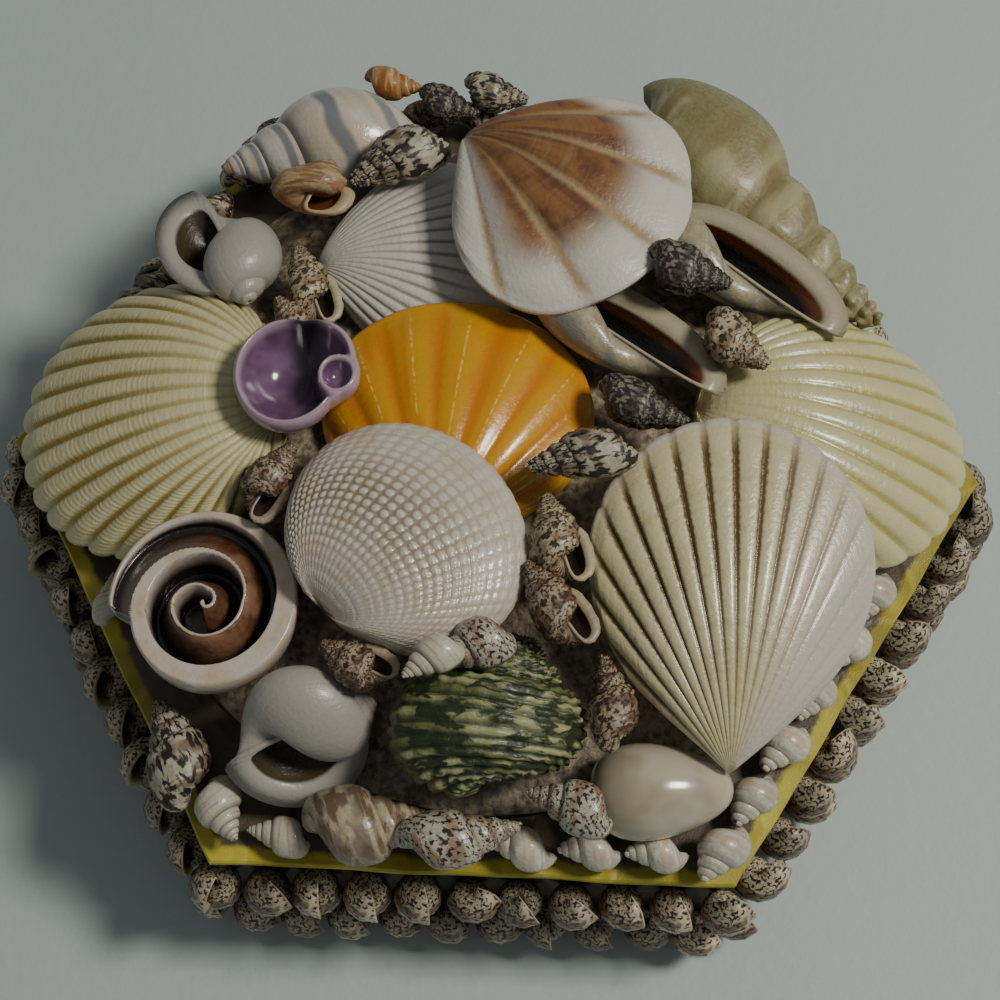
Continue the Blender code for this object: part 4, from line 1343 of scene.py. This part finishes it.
def make_smooth_snails(look):
    """The two white moon shells, the green turban and the banded one."""
    # The moon shells' mouths: brown near the lip and painted shade further in.
    moon = whorl_finish(
        "moon_look", tuple(0.6 * c for c in look.white), rgb(168, 162, 150), cover=0.2,
        soft=0.25, grain=(2.0, 4.0), mouth=rgb(72, 64, 44), deep=rgb(34, 28, 18), lit=0.6,
        speck=0.94, gloss=(0.3, 0.45), coat=0.15,
    )
    green = whorl_finish(
        "turban_look", look.green, rgb(46, 56, 28), second=rgb(160, 162, 116), cover=0.5,
        grain=(16.0, 13.0), soft=0.05, second_cover=0.55, second_grain=(4.0, 5.0), seam_shade=0.5,
        deep=rgb(20, 24, 14), depth=0.00015, groove=rgb(38, 48, 26),
    )
    banded = whorl_finish(
        "banded_look", rgb(214, 210, 200), rgb(184, 178, 164), second=rgb(206, 190, 168),
        cover=0.3, grain=(1.2, 5.0), soft=0.15, seam_shade=0.6, gloss=(0.1, 0.22), coat=0.6,
        bands=((0.34, 0.07, rgb(104, 112, 118)), (0.66, 0.05, rgb(120, 126, 128))), speck=0.9,
        early=(rgb(142, 112, 84), 0.45, 0.8),
    )
    common = dict(wall=0.36, sides=40, outer=24, inner=8)
    cut = Coil(length=18.5, width=22, mouth=0.84, growth=1.8, hub=0.2, depth=0.6, **common)
    upper = Coil(length=21, width=19, mouth=0.8, growth=2.05, hub=0.28, depth=0.8, **common)
    turban = Coil(
        length=22.5, width=28, mouth=0.66, growth=1.8, hub=0.2, boxy=0.85, depth=0.72,
        cords=13.0, cord_depth=0.6, folds=22.0, fold_depth=0.4, beads=1.0, sides=90, outer=60,
    )
    striped = Coil(length=33, width=20, mouth=0.62, growth=1.7, sides=44, outer=26)
    lay_all(
        ("moon_shell_cut", moon, (28, 0, 45), cut),
        ("moon_shell_upper", moon, (-68, 8, -4), upper),
        ("green_turban", green, (80, 8, 195), turban),
        ("banded_turban", banded, (201, 5, 170), striped),
    )


# The violet snail's hollows in millimetres, the small one last: centre, radius and depth
HOLLOWS = ((-1.5, 0.0, 6.3, 5.4), (1.7, 1.3, 4.9, 4.4), (4.7, -0.4, 2.2, 2.2))
# The circles that its outline follows, in millimetres: centre and radius
OUTLINE = ((-1.5, 0.0, 6.5), (4.8, 0.0, 2.7), (1.8, 1.2, 5.2))


def make_violet(look):
    """The violet snail, seen into its wide mouth: a glossy hollow with a small one at its side."""
    steps, rows, height = 120, 56, 7.0
    points, marks = [], []

    def apart(spot):
        """0 in the small hollow and 1 outside its rim."""
        x, y, radius, _ = HOLLOWS[-1]
        return float(smooth(math.hypot(spot[0] - x, spot[1] - y), radius, radius + 0.9))

    for k in range(steps):
        turned = 2 * math.pi * k / steps
        way = np.array([math.cos(turned), math.sin(turned)])
        reach = 0.0
        for x, y, radius in OUTLINE:
            ahead, aside = way @ (x, y), way @ (-y, x)
            if abs(aside) < radius:
                reach = max(reach, ahead + math.sqrt(radius**2 - aside**2))
        for i in range(1, rows + 1):
            spot = way * reach * i / rows
            drop, bowl = 0.0, 0.0
            for x, y, radius, deep in HOLLOWS:
                away = math.hypot(spot[0] - x, spot[1] - y) / (radius - 0.3)
                free = 1.0 if radius == HOLLOWS[-1][2] else apart(spot)
                if away < 1.0:
                    drop = max(drop, free * deep * (1 - away**2.6))
                    bowl = max(bowl, free * (1 - away**4))
            edge = float(smooth(i / rows, 0.93, 1.0))
            # Painted shadow: a dark band down the upper right of the hollow, standing for the shade
            # under an overhang that this mesh lacks, kept off the outer edge and the small hollow.
            aside = (spot[0] - 1.8) * 0.96 + (spot[1] - 1.0) * 0.2
            shade = math.exp(-((aside / 2.3) ** 4)) * smooth(spot[1], -6.0, -2.0)
            shade *= (1 - edge) * apart(spot)
            points.append((*spot, height - drop - 0.5 * edge**2))
            marks.append((bowl, float(shade)))
        for share, level in ((0.99, 0.62), (0.85, 0.28), (0.5, 0.0)):
            points.append((*(way * reach * share), level * height))
            marks.append((0.0, 0.0))
    faces = spoke_faces(steps, len(points) // steps)
    points += [(0.0, 0.0, height - HOLLOWS[0][3] * 0.9), (0.0, 0.0, 0.0)]
    marks += [(1.0, 0.0), (0.0, 0.0)]
    made = piece("violet_snail", points, faces, dict(zip(("bowl", "shade"), np.array(marks).T)))
    finish = Finish("violet_look", coat=0.6, subsurface=0.1)
    tree = finish.tree
    soft, fine = finish.noise(260, detail=2.0), finish.noise(1500)
    inner = mix(tree, fade(tree, soft, 0.35, 0.65), look.violet, rgb(128, 96, 128))
    tone = mix(tree, fade(tree, finish.attribute("bowl"), 0.05, 0.4), rgb(180, 156, 170), inner)
    # The painted shadow turns the colour nearly black.
    finish.colour(mix(tree, finish.attribute("shade"), tone, rgb(26, 14, 32)))
    finish.roughness(fine, 0.12, 0.25)
    finish.bump(soft, 0.0001)
    made.data.materials.append(finish.material)
    stand_for(made, "violet_snail", 3)


@dataclass
class Snail:
    """A small shell on the lid: its solid, size and pose, and the name of its colouring.

    heading and bank are in degrees, length in millimetres, and width a share of the length.
    relief is the share of its whorls' cords and folds that shows.
    """

    node: str
    heading: float
    length: float
    width: float = 0.58
    bank: float = 180.0
    look: str = "brown"
    relief: float = 1.0


SNAILS = (
    Snail("small_whelk_orange_side", -20, 13.4, 0.56, look="dark"),
    Snail("small_whelk_striped", -160, 14.6, 0.56, look="striped"),
    Snail("small_whelk_mid", 109, 13.0, 0.64, bank=0, look="cream"),
    Snail("small_whelk_long_mouth", 126, 14.0, 0.54, bank=0),
    Snail("small_whelk_front", 106, 13.2, 0.56),
    Snail("small_whelk_back", -144, 16.2, 0.58, look="striped"),
    Snail("broken_brown_whelk", 75, 12.6, 0.8, bank=0, look="rust", relief=0.4),
    Snail("small_whelk_by_moon", 112, 13.4, 0.6, bank=0, look="cream"),
    Snail("tiny_cream_whelk", 128, 9.2, 0.62, look="cream"),
    Snail("small_whelk_left", 60, 12.6, 0.6, bank=0),
    Snail("zigzag_whelk", 118, 16.0, 0.6, look="striped"),
    Snail("cream_stub", -57, 9.2, 0.76, look="plain", relief=0.0),
    Snail("small_white_snail", 174, 8.6, 0.66, look="plain", relief=0.0),
    Snail("dove_shell", 14, 16.6, 0.72, look="dove", relief=0.2),
    Snail("spotted_cone", 17, 16.4, 0.54, look="dotted", relief=0.1),
    Snail("spotted_cone_small", 166, 11.6, 0.66, look="dotted", relief=0.1),
    Snail("blotched_whelk", -150, 10.8, 0.7, look="dotted", relief=0.3),
    Snail("striped_snail", -140, 8.8, 0.66, look="plain", relief=0.0),
    Snail("broken_mouth_whelk", 150, 11.2, 0.66, bank=0),
    Snail("yellow_striped_whelk", -9, 10.2, 0.68, look="striped"),
    Snail("dark_striped_whelk", -17, 10.0, 0.66, look="dark"),
    Snail("orange_snail", -3, 9.4, 0.62, look="orange", relief=0.0),
    Snail("dark_whelk_right", -17, 12.2, 0.66, look="dark"),
    Snail("round_whelk_right", -35, 11.4, 0.68, look="cream"),
    Snail("pearly_snail", 95, 8.0, 0.66, look="plain", relief=0.0),
)


def make_snails(look):
    """The small shells between the large ones."""
    finishes = {
        "brown": dict(ground=rgb(176, 158, 130), spots=rgb(62, 44, 34), second=look.brown,
                      cover=0.46, grain=(28.0, 16.0), seam_shade=0.7),
        "dark": dict(ground=rgb(140, 132, 116), spots=look.black, second=rgb(82, 72, 62),
                     cover=0.55, grain=(30.0, 14.0), seam_shade=0.8),
        "striped": dict(ground=rgb(190, 182, 158), spots=look.black, second=rgb(124, 110, 90),
                        cover=0.46, grain=(26.0, 5.0), seam_shade=0.7),
        "cream": dict(ground=rgb(192, 180, 146), spots=rgb(62, 50, 38), second=rgb(146, 122, 90),
                      cover=0.42, grain=(26.0, 14.0), seam_shade=0.6),
        "rust": dict(ground=rgb(186, 164, 124), spots=rgb(128, 88, 54), second=rgb(160, 122, 84),
                     cover=0.4, grain=(5.0, 6.0), soft=0.1, seam_shade=0.5, mouth=rgb(140, 84, 46),
                     deep=rgb(70, 36, 18)),
        "plain": dict(ground=rgb(204, 196, 176), spots=rgb(164, 150, 126), cover=0.25,
                      grain=(2.0, 12.0), soft=0.12, seam_shade=0.6, gloss=(0.22, 0.4), coat=0.3,
                      speck=0.88),
        "dove": dict(ground=rgb(190, 176, 146), spots=rgb(112, 92, 72), second=rgb(134, 120, 102),
                     cover=0.45, grain=(6.0, 7.0), soft=0.08, gloss=(0.25, 0.4), coat=0.3),
        "dotted": dict(ground=rgb(196, 188, 170), spots=look.black, second=rgb(150, 128, 106),
                       cover=0.38, grain=(30.0, 17.0), gloss=(0.22, 0.4), coat=0.35, seam_shade=0.4),
        "orange": dict(ground=rgb(186, 144, 88), spots=rgb(150, 90, 36), second=rgb(206, 178, 126),
                       cover=0.4, grain=(3.0, 5.0), soft=0.1),
    }
    made = {key: whorl_finish(f"snail_{key}_look", **values) for key, values in finishes.items()}
    for snail in SNAILS:
        shape = Coil(
            snail.length, snail.width * snail.length, mouth=0.54, growth=1.5, boxy=0.75,
            first=0.12, sides=32, outer=16, cords=6.0, cord_depth=0.2 * snail.relief, folds=13.0,
            fold_depth=0.4 * snail.relief, beads=0.5, wall=0.16, slit=0.3,
        )
        lay_all((snail.node, made[snail.look], (snail.heading, 0.0, snail.bank), shape))


# ---------------------------------------------------------------- the sawn whelk and the cowrie

# Clockwise turns from the lip, the outer radius of the spiral wall there, the width of its sawn
# face and how deep the channel inside it is, in millimetres
SPIRAL = (
    (-0.05, 13.0, 0.5, 0.4),
    (0.0, 13.1, 0.5, 0.5),
    (0.25, 13.3, 1.0, 2.0),
    (0.5, 12.6, 3.0, 4.6),
    (0.75, 11.8, 2.8, 5.2),
    (1.0, 9.8, 2.0, 5.4),
    (1.25, 7.6, 0.5, 5.8),
    (1.5, 5.4, 0.35, 5.8),
    (1.75, 5.0, 0.35, 5.8),
    (2.0, 4.5, 0.4, 5.8),
    (2.25, 2.3, 0.45, 5.8),
    (2.5, 1.5, 0.5, 5.0),
    (2.8, 0.7, 0.5, 4.0),
    (3.2, 0.25, 0.2, 4.0),
)


def spiral_level(turned, radius, height):
    """(height, share of wall, share across the channel) of the sawn face at a place."""
    turns, radii, widths, depths = np.array(SPIRAL).T
    for whole in range(-1, 4):
        here = turned + whole
        if here < turns[0] or here > turns[-1]:
            continue
        outer = np.interp(here, turns, radii)
        following = np.interp(min(here + 1.0, turns[-1]), turns, radii)
        if here + 1.0 > turns[-1]:
            following = 0.0
        if not following < radius <= outer + 1e-6:
            continue
        inner = outer - np.interp(here, turns, widths)
        if radius >= inner:
            return height, 1.0, 0.0
        across = (inner - radius) / max(inner - following, 1e-6)
        deep = np.interp(here, turns, depths)
        wall = float(smooth(across, 0.0, 0.16))
        rise = float(smooth(across, 0.3, 1.0)) if here < 1.75 else float(smooth(across, 0.9, 1.0))
        return height - deep * wall * (1.0 - 0.95 * rise), 1.0 - wall, across
    return height, 1.0, 0.0


def make_slice(look):
    """A slice sawn from a whelk: a spiral wall round a deep channel, one closed mesh."""
    height, steps, rows = 6.5, 216, 96
    turns, radii = np.array(SPIRAL).T[:2]
    points, marks = [], []
    for k in range(steps):
        turned = k / steps
        late = float(smooth(turned, 0.955, 0.99))
        edge = (1 - late) * np.interp(turned, turns, radii) + late * radii[0]
        angle = math.pi - 2 * math.pi * turned
        for i in range(1, rows + 1):
            radius = edge * i / rows
            level, wall, across = spiral_level(turned, radius, height)
            rim = 0.35 * float(smooth(i / rows, 0.965, 1.0)) ** 2
            points.append((radius * math.cos(angle), radius * math.sin(angle), level - rim))
            # The third mark is 1 on the west side, away from the lamp, where the flank gets painted
            # shade.
            marks.append((wall, across, float(smooth(-math.cos(angle), -0.2, 0.6))))
        for share, level in ((0.985, 0.4 * height), (0.9, 0.0)):
            points.append((share * edge * math.cos(angle), share * edge * math.sin(angle), level))
            marks.append((1.0, 0.0, 0.0))
    faces = spoke_faces(steps, len(points) // steps)
    points += [(0.0, 0.0, height - 2.5), (0.0, 0.0, 0.0)]
    marks += [(0.0, 1.0, 0.0), (1.0, 0.0, 0.0)]
    stored = dict(zip(("wall", "across", "west"), np.array(marks).T))
    made = piece("spiral_slice", points, faces, stored)
    finish = Finish("spiral_slice_look", coat=0.6, subsurface=0.05)
    tree = finish.tree
    wall, across = finish.attribute("wall"), finish.attribute("across")
    coarse, fine = finish.noise(300), finish.noise(1600, detail=4.0)
    sawn = mix(tree, fade(tree, coarse, 0.4, 0.7), look.pink, rgb(196, 176, 146))
    flank = mix(tree, fade(tree, coarse, 0.35, 0.65), rgb(96, 62, 40), rgb(142, 104, 80))
    # Painted shade: on the west side, away from the lamp, the flank is greyer and darker.
    flank = mix(tree, finish.attribute("west"), flank, rgb(84, 74, 62))
    # Painted shade in the channel: nearly black where it is deepest beside the wall, turning to the
    # flank's colour as it rises towards the next wall.
    channel = mix(tree, fade(tree, across, 0.3, 0.75), rgb(28, 18, 12), flank)
    finish.colour(mix(tree, fade(tree, wall, 0.3, 0.9), channel, sawn))
    finish.roughness(fine, 0.12, 0.35)
    finish.bump(fine, 0.0001)
    made.data.materials.append(finish.material)
    stand_for(made, "spiral_slice")


def make_cowrie(look):
    """A glossy cowrie, blunt behind and pointed in front, lying on its toothed slit."""
    length, width, height, rings, sides = 17.5, 12.0, 9.5, 56, 72
    points, marks = [(0.5 * length, 0.0, 0.3 * height)], [(1.0, 0.0)]
    for k in range(1, rings):
        along = math.cos(math.pi * k / rings)
        girth = math.sin(math.pi * k / rings) ** 0.8 * (1.0 - 0.26 * along)
        for i in range(sides):
            turned = 2 * math.pi * i / sides
            up, out = math.sin(turned), math.cos(turned)
            slit = 0.9 * math.exp(-((out / 0.12) ** 2)) * (up < 0) * (1 - along * along)
            teeth = 0.12 * math.sin(34 * along) * math.exp(-((out / 0.4) ** 2)) * (up < 0)
            level = 0.35 * height + height * girth * (0.65 * up if up > 0 else 0.3 * up)
            points.append((0.5 * length * along, 0.5 * width * girth * out, level + slit + teeth))
            marks.append((along, max(up, 0.0)))
    points.append((-0.5 * length, 0.0, 0.35 * height))
    marks.append((-1.0, 0.0))
    faces = []
    for i in range(sides):
        j = (i + 1) % sides
        faces.append((0, 1 + i, 1 + j))
        for k in range(rings - 2):
            low, high = 1 + k * sides, 1 + (k + 1) * sides
            faces.append((low + i, low + j, high + j, high + i))
        top = 1 + (rings - 2) * sides
        faces.append((top + i, top + j, len(points) - 1))
    made = piece("white_cowrie", points, faces, dict(zip(("along", "across"), np.array(marks).T)))
    finish = Finish("white_cowrie_look", coat=0.7, subsurface=0.1)
    tree = finish.tree
    soft, fine = finish.noise(160, detail=2.0), finish.noise(1200)
    tone = mix(tree, fade(tree, soft, 0.35, 0.7), look.ivory, rgb(162, 152, 130))
    tip = fade(tree, finish.attribute("along"), 0.55, 1.0)
    finish.colour(mix(tree, tip, tone, rgb(200, 184, 160)))
    finish.roughness(fine, 0.12, 0.25)
    made.data.materials.append(finish.material)
    stand_for(made, "white_cowrie", 6)


# ---------------------------------------------------------------- the stage


def aim(made, target, bearing, height, away):
    """Puts a lamp or a camera on a side of the target, in radians and metres, and turns it."""
    level = math.cos(height)
    back = Vector((math.sin(bearing) * level, -math.cos(bearing) * level, math.sin(height)))
    made.location = target + away * back
    made.rotation_euler = (-back).to_track_quat("-Z", "Y").to_euler()


def make_stage(look):
    """A pale floor, one large soft light, even light all round, and the camera."""
    mesh = bpy.data.meshes.new("floor")
    reach = 0.9
    corners = [(x * reach, y * reach, 0.0) for x, y in ((-1, -1), (1, -1), (1, 1), (-1, 1))]
    mesh.from_pydata(corners, [], [(0, 1, 2, 3)])
    floor = add_object("floor", mesh)
    finish = Finish("floor_look", roughness=0.6)
    soft, fine = finish.noise(9, detail=2.0), finish.noise(500)
    tone = mix(finish.tree, soft, look.floor, tuple(0.93 * c for c in look.floor))
    finish.colour(tone)
    finish.bump(fine, 0.0001)
    mesh.materials.append(finish.material)

    lid_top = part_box("lid_board")[1][2]
    target = Vector((0.00104, -0.00566, lid_top))

    lamp = bpy.data.lights.new("key_light", "AREA")
    lamp.energy = look.key
    lamp.color = (1.0, 0.96, 0.87)
    lamp.size = 0.16
    key_light = add_object("key_light", lamp)
    aim(key_light, target, bearing=math.radians(92.0), height=math.radians(55.0), away=0.8)

    world = bpy.data.worlds.new("studio")
    world.use_nodes = True
    sky = world.node_tree.nodes["Background"]
    sky.inputs["Color"].default_value = (0.92, 0.97, 1.0, 1.0)
    sky.inputs["Strength"].default_value = look.fill
    bpy.context.scene.world = world

    camera_data = bpy.data.cameras.new("camera")
    camera_data.lens = look.lens
    camera_data.sensor_width = 36.0
    camera = add_object("camera", camera_data)
    aim(camera, target, look.azimuth, look.elevation, look.distance)
    bpy.context.scene.camera = camera


# ---------------------------------------------------------------- operators and panel


class Build:
    """What the operators share: each makes its pieces from one group of settings."""

    bl_options = {"REGISTER", "UNDO"}
    settings = "shells"
    maker = None

    def execute(self, context):
        """Makes the pieces."""
        type(self).maker(getattr(context.scene.shell_box, self.settings))
        return {"FINISHED"}


class SHELLBOX_OT_card(Build, bpy.types.Operator):
    """Make the card box and its lid"""

    bl_idname = "shell_box.card"
    bl_label = "Card box"
    settings = "card"
    maker = make_card


class SHELLBOX_OT_bed(Build, bpy.types.Operator):
    """Make the plaster bed on the lid"""

    bl_idname = "shell_box.bed"
    bl_label = "Plaster bed"
    settings = "card"
    maker = make_bed


class SHELLBOX_OT_rows(Build, bpy.types.Operator):
    """Make the two rows of whelks round the box"""

    bl_idname = "shell_box.rows"
    bl_label = "Whelk rows"
    settings = "rows"
    maker = make_rows


class SHELLBOX_OT_borders(Build, bpy.types.Operator):
    """Make the rows of small snails along the lid's edge"""

    bl_idname = "shell_box.borders"
    bl_label = "Border snails"
    settings = "rows"
    maker = make_borders


class SHELLBOX_OT_cockles(Build, bpy.types.Operator):
    """Make the cockles"""

    bl_idname = "shell_box.cockles"
    bl_label = "Cockles"
    maker = make_cockles


class SHELLBOX_OT_scallops(Build, bpy.types.Operator):
    """Make the scallops"""

    bl_idname = "shell_box.scallops"
    bl_label = "Scallops"
    maker = make_scallops


class SHELLBOX_OT_conchs(Build, bpy.types.Operator):
    """Make the conchs"""

    bl_idname = "shell_box.conchs"
    bl_label = "Conchs"
    maker = make_conchs


class SHELLBOX_OT_smooth_snails(Build, bpy.types.Operator):
    """Make the moon shells and the turbans"""

    bl_idname = "shell_box.smooth_snails"
    bl_label = "Moon shells and turbans"
    maker = make_smooth_snails


class SHELLBOX_OT_violet(Build, bpy.types.Operator):
    """Make the violet snail"""

    bl_idname = "shell_box.violet"
    bl_label = "Violet snail"
    maker = make_violet


class SHELLBOX_OT_snails(Build, bpy.types.Operator):
    """Make the small shells between the large ones"""

    bl_idname = "shell_box.snails"
    bl_label = "Small snails"
    maker = make_snails


class SHELLBOX_OT_slice(Build, bpy.types.Operator):
    """Make the sawn slice of a whelk"""

    bl_idname = "shell_box.slice"
    bl_label = "Spiral slice"
    maker = make_slice


class SHELLBOX_OT_cowrie(Build, bpy.types.Operator):
    """Make the cowrie"""

    bl_idname = "shell_box.cowrie"
    bl_label = "Cowrie"
    maker = make_cowrie


class SHELLBOX_OT_stage(Build, bpy.types.Operator):
    """Make the floor, the lights and the camera"""

    bl_idname = "shell_box.stage"
    bl_label = "Stage"
    settings = "stage"
    maker = make_stage


OPERATORS = (
    SHELLBOX_OT_card,
    SHELLBOX_OT_bed,
    SHELLBOX_OT_rows,
    SHELLBOX_OT_borders,
    SHELLBOX_OT_cockles,
    SHELLBOX_OT_scallops,
    SHELLBOX_OT_conchs,
    SHELLBOX_OT_smooth_snails,
    SHELLBOX_OT_violet,
    SHELLBOX_OT_snails,
    SHELLBOX_OT_slice,
    SHELLBOX_OT_cowrie,
    SHELLBOX_OT_stage,
)


class SHELLBOX_PT_look(bpy.types.Panel):
    """Sizes and colours of the shell box, and its operators"""

    bl_label = "Shell box"
    bl_space_type = "VIEW_3D"
    bl_region_type = "UI"
    bl_category = "Shell box"

    def draw(self, context):
        """Lists the settings, then the operators."""
        looks = context.scene.shell_box
        for group in (looks.card, looks.rows, looks.shells, looks.stage):
            box = self.layout.box()
            for key in group.__annotations__:
                box.prop(group, key)
        for operator in OPERATORS:
            self.layout.operator(operator.bl_idname)


CLASSES = (CardLook, RowLook, ShellLook, StageLook, ShellBoxLook, *OPERATORS, SHELLBOX_PT_look)


def register():
    for kind in CLASSES:
        bpy.utils.register_class(kind)
    bpy.types.Scene.shell_box = bpy.props.PointerProperty(type=ShellBoxLook)


def unregister():
    del bpy.types.Scene.shell_box
    for kind in reversed(CLASSES):
        bpy.utils.unregister_class(kind)


def main():
    """Builds every piece and the stage."""
    register()
    for operator in OPERATORS:
        group, name = operator.bl_idname.split(".")
        getattr(getattr(bpy.ops, group), name)()


if __name__ == "__main__":
    main()
